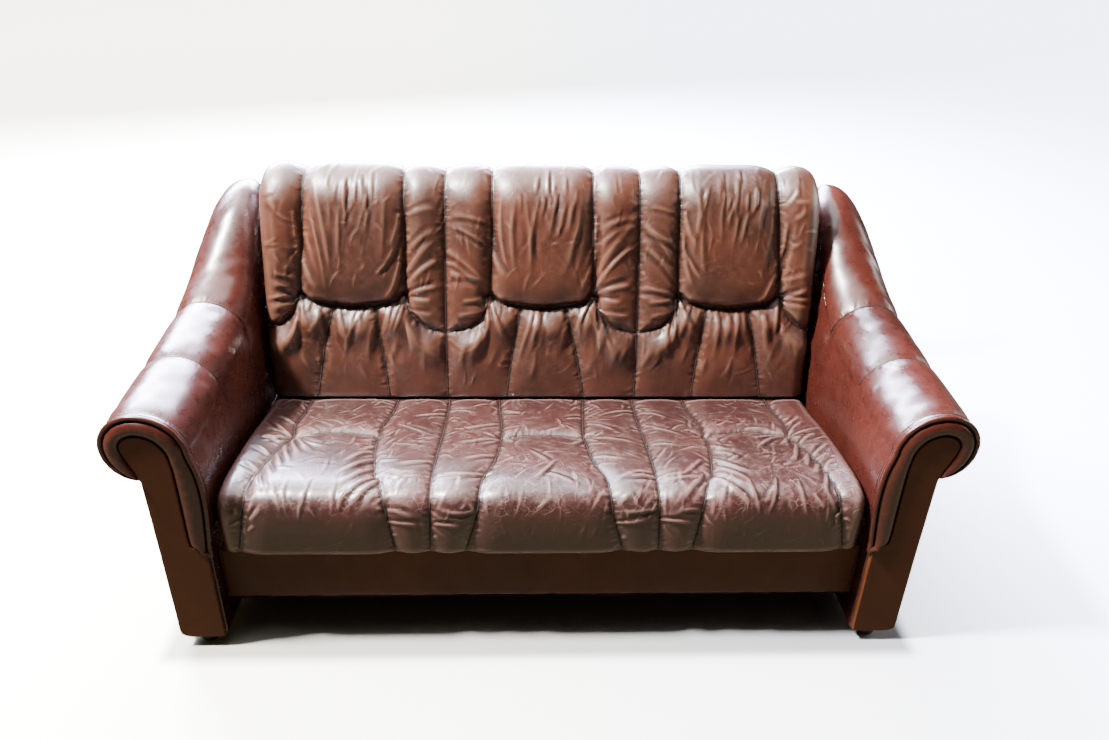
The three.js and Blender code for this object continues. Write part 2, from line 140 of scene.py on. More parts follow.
def lengths(path: Array) -> Array:
    """The distance run along a path at each of its points."""
    return np.concatenate([[0.0], np.cumsum(np.linalg.norm(np.diff(path, axis=0), axis=1))])


def resample(path: Array, samples: int | Array) -> Array:
    """Points at even distances, or at given fractions, along a path.

    Args:
        path: the points of the path.
        samples: a number of points, or the fractions of the length to read at.

    Returns:
        The new points.
    """
    run = lengths(path)
    share = np.linspace(0.0, 1.0, samples) if np.isscalar(samples) else np.asarray(samples)
    return np.stack([np.interp(share * run[-1], run, path[:, k]) for k in range(path.shape[1])], axis=1)


def ripple(t: Array, waves: Sequence[float], rng: np.random.Generator) -> Array:
    """An uneven wave: several cosines with random phases.

    Args:
        t: where to read it.
        waves: the wavelengths that are mixed.
        rng: the source of the phases.

    Returns:
        The wave's height, mostly between -1 and 1.
    """
    total = np.zeros_like(t)
    for wave in waves:
        total += np.cos(2 * np.pi * (t / wave) + rng.uniform(0, 2 * np.pi)) * rng.uniform(0.7, 1.2)
    return total / math.sqrt(len(waves) * 2.0)


def blur(values: Array, rounds: int) -> Array:
    """Evens out a grid of values by averaging neighbours.

    Args:
        values: the grid, which may hold several numbers at each point.
        rounds: how many times it is done.

    Returns:
        The evened grid.
    """
    v = values.copy()
    for _ in range(rounds):
        p = np.pad(v, [(1, 1), (1, 1)] + [(0, 0)] * (v.ndim - 2), mode="edge")
        v = (p[1:-1, 1:-1] * 4 + p[:-2, 1:-1] + p[2:, 1:-1] + p[1:-1, :-2] + p[1:-1, 2:]) / 8
    return v


def grid_normals(points: Array) -> Array:
    """Unit normals of a grid of points, as the cross product of its two directions.

    Args:
        points: the grid.

    Returns:
        A normal for each point.
    """
    du = np.gradient(points, axis=0)
    dv = np.gradient(points, axis=1)
    n = np.cross(du, dv)
    return n / np.maximum(np.linalg.norm(n, axis=2, keepdims=True), 1e-12)


# -------------------------------------------------------------------------------- seams


@dataclass
class Seam:
    """One sewn line on a sheet of leather.

    Attributes:
        points: its route in the sheet's own two coordinates.
        depth: how far it is pulled below the padding's own surface.
        gather: how strongly the leather beside it is gathered, from 0 to 1.
        reach: how far from the line the gathers run.
    """

    points: Array
    depth: float = 0.0
    gather: float = 1.0
    reach: float = 0.05


@dataclass
class SeamField:
    """What the seams mean at each point of a sheet.

    Attributes:
        near: distance to the nearest seam.
        run: distance along it.
        room: a distance to all seams together, smooth in the middle of a panel.
        pucker: seed of the gathers that run out from the seams.
        depth: how far the nearest seam pulls down, faded with distance.
    """

    near: Array
    run: Array
    room: Array
    pucker: Array
    depth: Array


def seam_field(u: Array, v: Array, seams: Sequence[Seam], rng: np.random.Generator) -> SeamField:
    """Measures a sheet against its seams.

    Args:
        u: first coordinate of each point of the sheet.
        v: second coordinate of each point.
        seams: the sewn lines.
        rng: the source of the gathers' spacing.

    Returns:
        The fields, each the shape of u.
    """
    near = np.full(u.shape, 9.0)
    nearest_run = np.zeros(u.shape)
    closeness = np.zeros(u.shape)
    pucker = np.zeros(u.shape)
    depth = np.zeros(u.shape)
    for number, seam in enumerate(seams):
        best = np.full(u.shape, 9.0)
        along = np.zeros(u.shape)
        run = lengths(seam.points)
        for (a, b, start) in zip(seam.points[:-1], seam.points[1:], run[:-1]):
            edge = b - a
            size = float(np.hypot(*edge)) + 1e-9
            t = np.clip(((u - a[0]) * edge[0] + (v - a[1]) * edge[1]) / size**2, 0.0, 1.0)
            d = np.hypot(u - a[0] - t * edge[0], v - a[1] - t * edge[1])
            closer = d < best
            best = np.where(closer, d, best)
            along = np.where(closer, start + t * size, along)
        wave = ripple(along + 0.25 * best, (0.016, 0.023, 0.034, 0.05), rng)
        pucker += seam.gather * wave * (best / 0.01) * np.exp(-best / seam.reach) / (1 + best / 0.01)
        closeness += np.maximum(best, 1e-4) ** -3.0
        depth = np.maximum(depth, seam.depth * np.exp(-best / 0.02))
        nearest_run = np.where(best < near, along + 1.3 * number, nearest_run)
        near = np.minimum(near, best)
    return SeamField(near, nearest_run, closeness ** (-1.0 / 3.0), pucker, depth)


# -------------------------------------------------------------------------------- leather sheets


@dataclass
class Drape:
    """How a sheet of leather settles over its padding.

    Attributes:
        across: spare leather along the sheet's first direction, as a share of its length.
        along: spare leather along its second direction.
        bend: how stiff the leather is when bent.
        foam: how firmly the padding holds the leather to its own shape.
        rounds: how many steps it is given to settle.
        reach: the furthest that a point may leave the padding's shape.
    """

    across: Array | float = 0.03
    along: Array | float = 0.03
    bend: float = 0.012
    foam: float = 0.008
    rounds: int = 160
    reach: float = 0.012


def _edge_pull(force: Array, at: Array, rest: Array, low: tuple, high: tuple, stiff: float) -> None:
    """Adds the pull of one family of springs to the forces.

    Args:
        force: the forces, changed in place.
        at: where the points are.
        rest: each spring's own length.
        low: index of the springs' first ends.
        high: index of their second ends.
        stiff: the springs' strength.
    """
    d = at[high] - at[low]
    size = np.sqrt(np.einsum("ijk,ijk->ij", d, d))
    pull = d * (stiff * (size - rest) / np.maximum(size, 1e-9))[..., None]
    force[low] += pull
    force[high] -= pull


def settle(shape: Array, seed: Array, hold: Array, drape: Drape) -> Array:
    """Lets a sheet of springs settle over padding, so that its spare length buckles into gathers.

    Args:
        shape: the padding's own surface, a grid of points.
        seed: a small height that says where folds may start.
        hold: 1 where the sheet is sewn down, 0 where it is free.
        drape: the leather's spare length and stiffness.

    Returns:
        The settled grid of points.
    """
    shape = shape.astype(np.float32)
    normal = grid_normals(shape).astype(np.float32)
    at = shape + normal * seed[..., None].astype(np.float32)
    speed = np.zeros_like(at)
    every = slice(None)
    ends = [
        ((slice(None, -1), every), (slice(1, None), every), 1.0, (1.0, 0.0)),
        ((every, slice(None, -1)), (every, slice(1, None)), 1.0, (0.0, 1.0)),
        ((slice(None, -1), slice(None, -1)), (slice(1, None), slice(1, None)), 0.25, (0.5, 0.5)),
        ((slice(None, -1), slice(1, None)), (slice(1, None), slice(None, -1)), 0.25, (0.5, 0.5)),
    ]
    across = np.broadcast_to(np.asarray(drape.across, np.float32), shape.shape[:2])
    along = np.broadcast_to(np.asarray(drape.along, np.float32), shape.shape[:2])
    springs = []
    for low, high, stiff, (a, b) in ends:
        spare = a * across[low] + b * along[low]
        rest = np.linalg.norm(shape[high] - shape[low], axis=2) * (1 + spare)
        springs.append((low, high, stiff, rest))
    free = (1.0 - hold)[..., None].astype(np.float32)
    for _ in range(drape.rounds):
        force = np.zeros_like(at)
        for low, high, stiff, rest in springs:
            _edge_pull(force, at, rest, low, high, stiff)
        off = at - shape
        force -= drape.bend * _laplace(_laplace(off))
        lift = np.einsum("ijk,ijk->ij", off, normal)[..., None]
        force -= drape.foam * lift * normal + 0.002 * off
        force -= (0.6 * hold)[..., None] * off
        speed = (0.88 * speed + 0.16 * force) * free
        at = at + speed
        off = at - shape
        size = np.linalg.norm(off, axis=2, keepdims=True)
        at = shape + off * np.minimum(1.0, drape.reach / np.maximum(size, 1e-9))
    return at.astype(float)


def _laplace(values: Array) -> Array:
    """The difference between each point of a grid and the mean of its neighbours, times four."""
    p = np.pad(values, ((1, 1), (1, 1), (0, 0)), mode="edge")
    return p[:-2, 1:-1] + p[2:, 1:-1] + p[1:-1, :-2] + p[1:-1, 2:] - 4 * values


def bilinear(grid: Array, i: Array, j: Array) -> Array:
    """Reads a grid between its points.

    Args:
        grid: values on a grid.
        i: fractional rows.
        j: fractional columns.

    Returns:
        The values there.
    """
    i = np.clip(i, 0, grid.shape[0] - 1.001)
    j = np.clip(j, 0, grid.shape[1] - 1.001)
    a, b = np.floor(i).astype(int), np.floor(j).astype(int)
    s, t = (i - a)[..., None], (j - b)[..., None]
    return (
        grid[a, b] * (1 - s) * (1 - t)
        + grid[a + 1, b] * s * (1 - t)
        + grid[a, b + 1] * (1 - s) * t
        + grid[a + 1, b + 1] * s * t
    )


# -------------------------------------------------------------------------------- mesh making


def make_object(
    name: str,
    points: Array,
    faces: Sequence[Sequence[int]],
    material: bpy.types.Material,
    marks: dict[str, Array] | None = None,
) -> bpy.types.Object:
    """A smooth-shaded mesh object.

    Args:
        name: the object's name.
        points: its vertices.
        faces: its faces, as lists of vertex numbers.
        material: what it is made of.
        marks: named numbers at each vertex, such as wear.

    Returns:
        The object, linked to the scene.
    """
    mesh = bpy.data.meshes.new(name)
    mesh.from_pydata(
        np.asarray(points, float).reshape(-1, 3).tolist(), [], [list(map(int, f)) for f in faces]
    )
    mesh.validate()
    mesh.materials.append(material)
    mesh.shade_smooth()
    for mark, values in (marks or {}).items():
        attribute = mesh.attributes.new(mark, "FLOAT", "POINT")
        attribute.data.foreach_set("value", np.asarray(values, np.float32).reshape(-1))
    mesh.update()
    made = bpy.data.objects.new(name, mesh)
    bpy.context.scene.collection.objects.link(made)
    return made


def grid_faces(rows: int, columns: int, start: int = 0, wrap: bool = False, flip: bool = False) -> Array:
    """Faces of a grid of vertices.

    Args:
        rows: vertices along the first direction.
        columns: vertices along the second.
        start: number of the first vertex.
        wrap: whether the second direction closes on itself.
        flip: whether the faces turn against the cross product of the two directions.

    Returns:
        The four vertex numbers of each face.
    """
    last = columns if wrap else columns - 1
    i, j = np.meshgrid(np.arange(rows - 1), np.arange(last), indexing="ij")
    k = (j + 1) % columns
    a, b, c, d = i * columns + j, i * columns + k, (i + 1) * columns + k, (i + 1) * columns + j
    faces = np.stack([a, b, c, d] if flip else [a, d, c, b], axis=-1).reshape(-1, 4)
    return faces + start


def frames_along(path: Array, up: Array) -> tuple[Array, Array]:
    """Two directions square to a path, one of them as near to a given one as can be.

    Args:
        path: the points of the path.
        up: the wanted direction at each point, or one for all.

    Returns:
        The directions across the path and nearest to up.
    """
    along = np.gradient(path, axis=0)
    along /= np.maximum(np.linalg.norm(along, axis=1, keepdims=True), 1e-12)
    across = np.cross(along, np.broadcast_to(up, path.shape))
    across /= np.maximum(np.linalg.norm(across, axis=1, keepdims=True), 1e-12)
    return across, np.cross(across, along)


def tube_mesh(path: Array, up: Array, wide: float, high: float, sides: int = 6) -> tuple[Array, Array]:
    """A closed tube of oval section along a path, drawn in to a quarter of its size at both ends.

    Args:
        path: the points of its centre line.
        up: the direction of its height.
        wide: half its width.
        high: half its height.
        sides: how many sides it has.

    Returns:
        Its vertices and faces.
    """
    across, above = frames_along(path, up)
    turn = np.arange(sides) * 2 * np.pi / sides
    taper = np.ones(len(path))
    taper[0] = taper[-1] = 0.25
    ring = across[:, None] * (wide * np.cos(turn))[None, :, None]
    ring = ring + above[:, None] * (high * np.sin(turn))[None, :, None]
    points = path[:, None] + ring * taper[:, None, None]
    faces = grid_faces(len(path), sides, wrap=True).tolist()
    faces.append(list(range(sides)))
    faces.append(list(range((len(path) - 1) * sides, len(path) * sides))[::-1])
    return points.reshape(-1, 3), faces


def join_meshes(parts: Sequence[tuple[Array, Sequence[Sequence[int]]]]) -> tuple[Array, list[list[int]]]:
    """Several lists of vertices and faces as one.

    Args:
        parts: the vertices and faces of each.

    Returns:
        All vertices, and all faces with their vertex numbers moved on.
    """
    points, faces, start = [], [], 0
    for part_points, part_faces in parts:
        points.append(np.asarray(part_points).reshape(-1, 3))
        faces.extend([int(v) + start for v in f] for f in part_faces)
        start += len(points[-1])
    return np.vstack(points), faces


def close_slab(rows: Array) -> tuple[Array, list[list[int]]]:
    """A closed body from rings of points, with a flat face on each end ring.

    Args:
        rows: rings by points by three.

    Returns:
        Vertices and faces.
    """
    count, around = rows.shape[:2]
    faces = grid_faces(count, around, wrap=True).tolist()
    faces.append(list(range(around)))
    faces.append(list(range((count - 1) * around, count * around))[::-1])
    return rows.reshape(-1, 3), faces


# -------------------------------------------------------------------------------- finishes


class Nodes:
    """A material's node tree, with short ways to add to it."""

    def __init__(self, name: str) -> None:
        """Starts a material with an empty tree and a principled shader.

        Args:
            name: the material's name.
        """
        self.material = bpy.data.materials.new(name)
        self.material.use_nodes = True
        self.tree = self.material.node_tree
        self.tree.nodes.clear()
        self.output = self.tree.nodes.new("ShaderNodeOutputMaterial")
        self.shader = self.tree.nodes.new("ShaderNodeBsdfPrincipled")
        self.link(self.shader.outputs["BSDF"], self.output.inputs["Surface"])
        self.place = self.tree.nodes.new("ShaderNodeTexCoord").outputs["Object"]

    def link(self, source: bpy.types.NodeSocket, target: bpy.types.NodeSocket) -> None:
        """Joins two sockets."""
        self.tree.links.new(source, target)

    def _feed(self, socket: bpy.types.NodeSocket, value: object) -> None:
        """Sets a socket to a value, or joins it to another socket.

        Args:
            socket: the socket.
            value: the value or socket.
        """
        if isinstance(value, bpy.types.NodeSocket):
            self.link(value, socket)
        else:
            socket.default_value = value

    def mark(self, name: str) -> bpy.types.NodeSocket:
        """The number that a mesh carries at each vertex under that name.

        Args:
            name: the mark's name.

        Returns:
            The number's socket.
        """
        node = self.tree.nodes.new("ShaderNodeAttribute")
        node.attribute_name = name
        return node.outputs["Fac"]

    def math(self, kind: str, a: object, b: object = 0.0, clamp: bool = False) -> bpy.types.NodeSocket:
        """A sum, product or other operation on two numbers.

        Args:
            kind: the operation.
            a: first number or socket.
            b: second number or socket.
            clamp: whether the result stays between 0 and 1.

        Returns:
            The result.
        """
        node = self.tree.nodes.new("ShaderNodeMath")
        node.operation = kind
        node.use_clamp = clamp
        self._feed(node.inputs[0], a)
        self._feed(node.inputs[1], b)
        return node.outputs[0]

    def times(self, a: object, b: object) -> bpy.types.NodeSocket:
        """A product."""
        return self.math("MULTIPLY", a, b)

    def plus(self, a: object, b: object, clamp: bool = False) -> bpy.types.NodeSocket:
        """A sum, kept between 0 and 1 where clamp says so."""
        return self.math("ADD", a, b, clamp)

    def ramp(
        self, value: object, low: float, high: float, to_low: float = 0.0, to_high: float = 1.0
    ) -> bpy.types.NodeSocket:
        """A number carried smoothly from one range to another.

        Args:
            value: the number or socket.
            low: start of its range.
            high: end of its range.
            to_low: what the start becomes.
            to_high: what the end becomes.

        Returns:
            The result.
        """
        node = self.tree.nodes.new("ShaderNodeMapRange")
        node.interpolation_type = "SMOOTHSTEP"
        for name, number in zip(
            ("Value", "From Min", "From Max", "To Min", "To Max"), (value, low, high, to_low, to_high)
        ):
            self._feed(node.inputs[name], number)
        return node.outputs["Result"]

    def mix(self, share: object, a: object, b: object, blend: str = "MIX") -> bpy.types.NodeSocket:
        """A blend of two colours.

        Args:
            share: how much of the second, a number or socket.
            a: first colour or socket.
            b: second colour or socket.
            blend: how they are blended.

        Returns:
            The colour.
        """
        node = self.tree.nodes.new("ShaderNodeMix")
        node.data_type = "RGBA"
        node.blend_type = blend
        self._feed(node.inputs["Factor"], share)
        self._feed(node.inputs["A"], a)
        self._feed(node.inputs["B"], b)
        return node.outputs["Result"]

    def stretched(self, scale: tuple[float, float, float]) -> bpy.types.NodeSocket:
        """The place on the object, stretched along each axis.

        Args:
            scale: the stretch along x, y and z.

        Returns:
            The new place.
        """
        node = self.tree.nodes.new("ShaderNodeMapping")
        self.link(self.place, node.inputs["Vector"])
        node.inputs["Scale"].default_value = scale
        return node.outputs["Vector"]

    def noise(
        self, scale: float, detail: float = 3.0, rough: float = 0.5, twist: float = 0.0,
        place: bpy.types.NodeSocket | None = None,
    ) -> bpy.types.NodeSocket:
        """Soft random variation.

        Args:
            scale: how fine it is, per metre.
            detail: how many finer layers it has.
            rough: how strong they are.
            twist: how much it is distorted.
            place: where it is read, or None for the place on the object.

        Returns:
            A number from 0 to 1.
        """
        node = self.tree.nodes.new("ShaderNodeTexNoise")
        self.link(place or self.place, node.inputs["Vector"])
        node.inputs["Scale"].default_value = scale
        node.inputs["Detail"].default_value = detail
        node.inputs["Roughness"].default_value = rough
        node.inputs["Distortion"].default_value = twist
        return node.outputs["Fac"]

    def cells(
        self, scale: float, edges: bool = False, place: bpy.types.NodeSocket | None = None
    ) -> bpy.types.NodeSocket:
        """A pattern of cells.

        Args:
            scale: how many there are, per metre.
            edges: whether to give the distance to a cell's edge rather than to its middle.
            place: where it is read, or None for the place on the object.

        Returns:
            The distance.
        """
        node = self.tree.nodes.new("ShaderNodeTexVoronoi")
        node.feature = "DISTANCE_TO_EDGE" if edges else "F1"
        self.link(place or self.place, node.inputs["Vector"])
        node.inputs["Scale"].default_value = scale
        return node.outputs["Distance"]

    def warped(
        self, scale: float, amount: float, place: bpy.types.NodeSocket | None = None
    ) -> bpy.types.NodeSocket:
        """The place on the object, pushed about by noise, so that patterns read there have wavy lines.

        Args:
            scale: how fine the noise is, per metre.
            amount: how far it pushes, in metres.
            place: where it starts from, or None for the place on the object.

        Returns:
            The new place.
        """
        node = self.tree.nodes.new("ShaderNodeTexNoise")
        start = place or self.place
        self.link(start, node.inputs["Vector"])
        node.inputs["Scale"].default_value = scale
        push = self.tree.nodes.new("ShaderNodeVectorMath")
        push.operation = "SCALE"
        self.link(node.outputs["Color"], push.inputs[0])
        push.inputs["Scale"].default_value = amount
        total = self.tree.nodes.new("ShaderNodeVectorMath")
        self.link(start, total.inputs[0])
        self.link(push.outputs[0], total.inputs[1])
        return total.outputs[0]

    def bump(
        self, height: object, distance: float, strength: float = 1.0,
        under: bpy.types.NodeSocket | None = None,
    ) -> bpy.types.NodeSocket:
        """A fine relief.

        Args:
            height: its height, as a share of distance.
            distance: its full height, in metres.
            strength: how much of it shows.
            under: a relief that it lies on, or None.

        Returns:
            The normal.
        """
        node = self.tree.nodes.new("ShaderNodeBump")
        node.inputs["Distance"].default_value = distance
        node.inputs["Strength"].default_value = strength
        self._feed(node.inputs["Height"], height)
        if under is not None:
            self.link(under, node.inputs["Normal"])
        return node.outputs["Normal"]


@dataclass(frozen=True)
class Leather:
    """Glazed, dyed cow hide that has been sat on for years.

    Attributes:
        name: the material's name.
        base: its colour.
        light: the colour where the dye is thin or rubbed, and of the fine crease lines, which are partly
            painted highlight.
        dark: the colour where it is thick or dirty, and the painted shade in the valley of a fold.
        gloss: its roughness where it is sound.
        dull: its roughness where it is worn.
        crackle: how much the fine crease lines show, from 0 to 1; they are painted lighter, partly as worn
            dye and partly as painted highlight.
        pebble: how strong the grain is, from 0 to 1.
        glaze: how strong the clear finish on top is.
        glaze_rough: its roughness.
        gather: how strong the fine gathers beside its seams are, from 0 to 1.
        shine: how strongly it mirrors light under its finish.
        crease_scale: how many crease cells there are per metre.
        stretch: how the crease lines are drawn out along each axis.
    """

    name: str
    base: tuple[float, float, float]
    light: tuple[float, float, float]
    dark: tuple[float, float, float]
    gloss: float = 0.34
    dull: float = 0.55
    crackle: float = 0.5
    pebble: float = 0.5
    glaze: float = 0.25
    glaze_rough: float = 0.22
    gather: float = 1.0
    shine: float = 0.5
    crease_scale: float = 34.0
    stretch: tuple[float, float, float] = (1.0, 1.0, 1.0)

    def make(self) -> bpy.types.Material:
        """Builds the material.

        Returns:
            The material. It reads the marks that Upholstery.marks gives: "fold" (-1 on a ridge, 1 in
            a valley), "rub", "seam", "near" and "run".
        """
        n = Nodes(self.name)
        fold, rub, seam = n.mark("fold"), n.mark("rub"), n.mark("seam")
        cloud = n.noise(4.5, 4, 0.55, 0.4)
        mottle = n.noise(38, 5, 0.6)
        fine = n.noise(420, 3, 0.6)
        lines = n.cells(self.crease_scale, True, n.warped(22, 0.035, n.stretched(self.stretch)))
        small = n.cells(self.crease_scale * 3.1, True, n.warped(60, 0.012, n.stretched(self.stretch)))
        crease = n.times(n.ramp(lines, 0.0, 0.045, 1.0, 0.0), n.ramp(n.noise(26, 2, 0.5), 0.47, 0.60))
        crease_small = n.times(n.ramp(small, 0.0, 0.07, 1.0, 0.0), n.ramp(n.noise(70, 2, 0.5), 0.45, 0.62))
        patch = n.ramp(n.noise(9, 3, 0.6), 0.42, 0.66)
        near = n.mark("near")
        beside = n.ramp(near, 0.0, 0.030, 1.0, 0.0)
        pulled = n.tree.nodes.new("ShaderNodeCombineXYZ")
        n.link(n.mark("run"), pulled.inputs["X"])
        n.link(n.times(near, 0.16), pulled.inputs["Y"])
        gathers = n.times(n.ramp(n.noise(150, 3, 0.55, 0.0, pulled.outputs[0]), 0.36, 0.64), beside)
        ridge = n.ramp(fold, -0.05, -0.75)
        valley = n.ramp(fold, 0.05, 0.8)
        colour = n.mix(n.ramp(cloud, 0.3, 0.72), (*self.dark, 1), (*self.base, 1))
        colour = n.mix(n.times(n.ramp(mottle, 0.35, 0.75), 0.45), colour, (*self.base, 1))
        colour = n.mix(n.times(ridge, 0.35), colour, (*self.light, 1))
        colour = n.mix(n.times(gathers, 0.10), colour, (*self.light, 1))
        shown = n.times(crease, n.plus(0.25, n.times(patch, 0.75)))
        tiny = n.times(crease_small, n.times(patch, 0.6))
        # The fine crease lines are painted lighter: partly worn dye, partly a painted highlight along the
        # creases.
        crease_wear_and_highlight = n.times(n.plus(shown, tiny, True), n.plus(0.12, rub, True))
        colour = n.mix(n.times(crease_wear_and_highlight, self.crackle), colour, (*self.light, 1))
        worn = n.times(rub, n.ramp(n.noise(55, 5, 0.7), 0.45, 0.8))
        colour = n.mix(n.times(worn, 0.3), colour, (*self.light, 1))
        # Painted shade: darker in the valleys of the folds.
        colour = n.mix(n.times(valley, 0.55), colour, (*self.dark, 1), "MULTIPLY")
        # Darker along the seams: partly dirt in the seam, partly painted shade in its groove.
        colour = n.mix(n.times(seam, 0.75), colour, (0.12, 0.08, 0.07, 1), "MULTIPLY")
        n.link(colour, n.shader.inputs["Base Color"])
        rough = n.plus(
            n.ramp(mottle, 0.3, 0.75, self.gloss - 0.04, self.gloss + 0.06),
            n.times(worn, self.dull - self.gloss),
        )
        n.link(
            n.plus(rough, n.times(n.math("SUBTRACT", fine, 0.5), 0.12), True), n.shader.inputs["Roughness"]
        )
        pores = n.ramp(n.cells(560, False, n.warped(300, 0.0012)), 0.0, 0.75)
        relief = n.bump(pores, 0.00022, 0.55 * self.pebble)
        relief = n.bump(n.noise(140, 4, 0.6), 0.0006, 0.35 * self.pebble, relief)
        sunk = n.times(n.plus(n.times(crease, n.plus(0.3, patch, True)), n.times(crease_small, 0.35)), -1.0)
        relief = n.bump(sunk, 0.0011, 0.8 * self.crackle, relief)
        relief = n.bump(gathers, 0.0012, 0.35 * self.gather, relief)
        n.link(relief, n.shader.inputs["Normal"])
        n.shader.inputs["Specular IOR Level"].default_value = self.shine
        n.shader.inputs["Coat Weight"].default_value = self.glaze
        n.shader.inputs["Coat Roughness"].default_value = self.glaze_rough
        return n.material


@dataclass(frozen=True)
class Plain:
    """A simple finish with fine variation of tone and relief.

    Attributes:
        name: the material's name.
        base: its colour.
        other: the colour that it varies towards.
        roughness: how matt it is.
        metal: 1 for a metal, 0 for anything else.
        grain: how fine the variation is, per metre.
        stretch: how the variation is drawn out along each axis.
        relief: height of its relief, in metres.
    """

    name: str
    base: tuple[float, float, float]
    other: tuple[float, float, float]
    roughness: float
    metal: float = 0.0
    grain: float = 120.0
    stretch: tuple[float, float, float] = (1.0, 1.0, 1.0)
    relief: float = 0.0003

    def make(self) -> bpy.types.Material:
        """Builds the material.

        Returns:
            The material.
        """
        n = Nodes(self.name)
        place = n.stretched(self.stretch)
        tone = n.noise(self.grain, 5, 0.6, 0.3, place)
        n.link(
            n.mix(n.ramp(tone, 0.3, 0.7), (*self.base, 1), (*self.other, 1)), n.shader.inputs["Base Color"]
        )
        n.link(
            n.ramp(tone, 0.2, 0.8, self.roughness - 0.06, self.roughness + 0.06),
            n.shader.inputs["Roughness"],
        )
        n.link(n.bump(tone, self.relief, 0.5), n.shader.inputs["Normal"])
        n.shader.inputs["Metallic"].default_value = self.metal
        return n.material


@dataclass(frozen=True)
class PaleFloor:
    """A plain pale seamless floor, lit from within everywhere but under the sofa.

    Attributes:
        warm: its colour on the left.
        cool: its colour on the right.
        glow: how bright it is by itself, beside the sofa and further away.
        half_x: half the width of the patch that has no light of its own.
        half_y: half its depth.
        edge: how far the light takes to come up.
        dust: how pale the floor under the sofa is painted, as a share of the rest: a painted shadow.
    """

    warm: tuple[float, float, float] = (0.95, 0.94, 0.80)
    cool: tuple[float, float, float] = (0.80, 0.83, 0.97)
    glow: tuple[float, float] = (2.6, 5.8)
    half_x: float = 0.89
    half_y: float = 0.452
    edge: float = 0.05
    dust: float = 0.4

    def make(self) -> bpy.types.Material:
        """Builds the material.

        Returns:
            The material.
        """
        n = Nodes("floor")
        apart = n.tree.nodes.new("ShaderNodeSeparateXYZ")
        n.link(n.place, apart.inputs[0])
        colour = n.mix(n.ramp(apart.outputs["X"], -1.6, 1.8), (*self.warm, 1), (*self.cool, 1))
        n.link(colour, n.shader.inputs["Emission Color"])
        beside = [
            n.math(
                "POWER",
                n.math("MAXIMUM", n.math("SUBTRACT", n.math("ABSOLUTE", apart.outputs[axis]), half), 0.0),
                2.0,
            )
            for axis, half in (("X", self.half_x), ("Y", self.half_y))
        ]
        away = n.math("SQRT", n.plus(*beside))
        near = n.ramp(away, 0.0, self.edge, 0.0, self.glow[0])
        # Painted shadow: the floor's own colour is darkened under the sofa.
        painted_shadow_share = n.ramp(away, 0.0, self.edge, self.dust, 1.0)
        n.link(n.mix(painted_shadow_share, (0.0, 0.0, 0.0, 1), colour), n.shader.inputs["Base Color"])
        far = n.ramp(away, 0.8, 9.0, 0.0, self.glow[1] - self.glow[0])
        n.link(n.plus(near, far), n.shader.inputs["Emission Strength"])
        n.shader.inputs["Roughness"].default_value = 0.8
        n.shader.inputs["Specular IOR Level"].default_value = 0.1
        return n.material


ARM_LEATHER = Leather(
    "arm_leather",
    base=(0.050, 0.010, 0.0065),
    light=(0.13, 0.037, 0.026),
    dark=(0.028, 0.006, 0.0045),
    crackle=0.0,
    pebble=0.35,
    gloss=0.30,
    dull=0.33,
    glaze=0.12,
)
BACK_LEATHER = Leather(
    "back_leather",
    base=(0.074, 0.019, 0.0095),
    light=(0.22, 0.11, 0.07),
    dark=(0.030, 0.009, 0.005),
    crackle=0.35,
    gloss=0.42,
    glaze=0.5,
    glaze_rough=0.36,
)
SEAT_LEATHER = Leather(
    "seat_leather",
    base=(0.045, 0.0125, 0.011),
    light=(0.32, 0.19, 0.17),
    dark=(0.022, 0.008, 0.007),
    crackle=0.6,
    gloss=0.37,
    glaze=0.45,
    glaze_rough=0.28,
)
TRIM_LEATHER = Leather(
    "trim_leather",
    base=(0.088, 0.025, 0.0075),
    light=(0.13, 0.045, 0.018),
    dark=(0.058, 0.016, 0.005),
    crackle=0.1,
    gloss=0.52,
    glaze=0.0,
    shine=0.3,
)
# Near black partly as the thread's own colour, partly as painted shade in the seam's groove.
SEAM_THREAD = Plain("seam_thread", (0.012, 0.006, 0.006), (0.03, 0.012, 0.01), 0.6, grain=900)
BEECH = Plain("beech", (0.55, 0.34, 0.18), (0.42, 0.24, 0.12), 0.6, grain=60, stretch=(0.08, 1, 1))
PLYWOOD = Plain("plywood", (0.50, 0.33, 0.17), (0.38, 0.23, 0.12), 0.7, grain=50, stretch=(1, 0.1, 1))
WEBBING = Plain("webbing", (0.03, 0.027, 0.025), (0.015, 0.014, 0.013), 0.9, grain=900)
CAMBRIC = Plain("cambric", (0.012, 0.012, 0.013), (0.02, 0.02, 0.021), 0.95, grain=1400)
FOOT_PLASTIC = Plain("foot_plastic", (0.01, 0.009, 0.008), (0.03, 0.025, 0.02), 0.45, grain=200)
STEEL = Plain("steel", (0.55, 0.55, 0.53), (0.4, 0.4, 0.38), 0.35, metal=1.0, grain=500)
FOAM = Plain("foam", (0.72, 0.66, 0.46), (0.6, 0.52, 0.34), 0.95, grain=700)


# -------------------------------------------------------------------------------- setting out


@dataclass
class SettingOut:
    """Where things are, read from the frame.

    Attributes:
        front: the row's y at the face of the front boards.
        depth: from the front boards to the rear panel.
        height: the sofa's height.
        leg: height of the feet.
    """

    front: float
    depth: float
    height: float
    leg: float

    @classmethod
    def from_frame(cls) -> "SettingOut":
        """Reads the frame's boxes.

        Returns:
            The sizes that they give.
        """
        low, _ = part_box("right_front_board")
        _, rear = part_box("rear_panel")
        _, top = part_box("back_cover")
        return cls(front=low.y, depth=rear.y - low.y, height=top.z, leg=low.z)

    def row(self, points: Array) -> Array:
        """Points in the maker's coordinates moved into the row's frame."""
        return np.asarray(points, float) + np.array([0.0, self.front, 0.0])


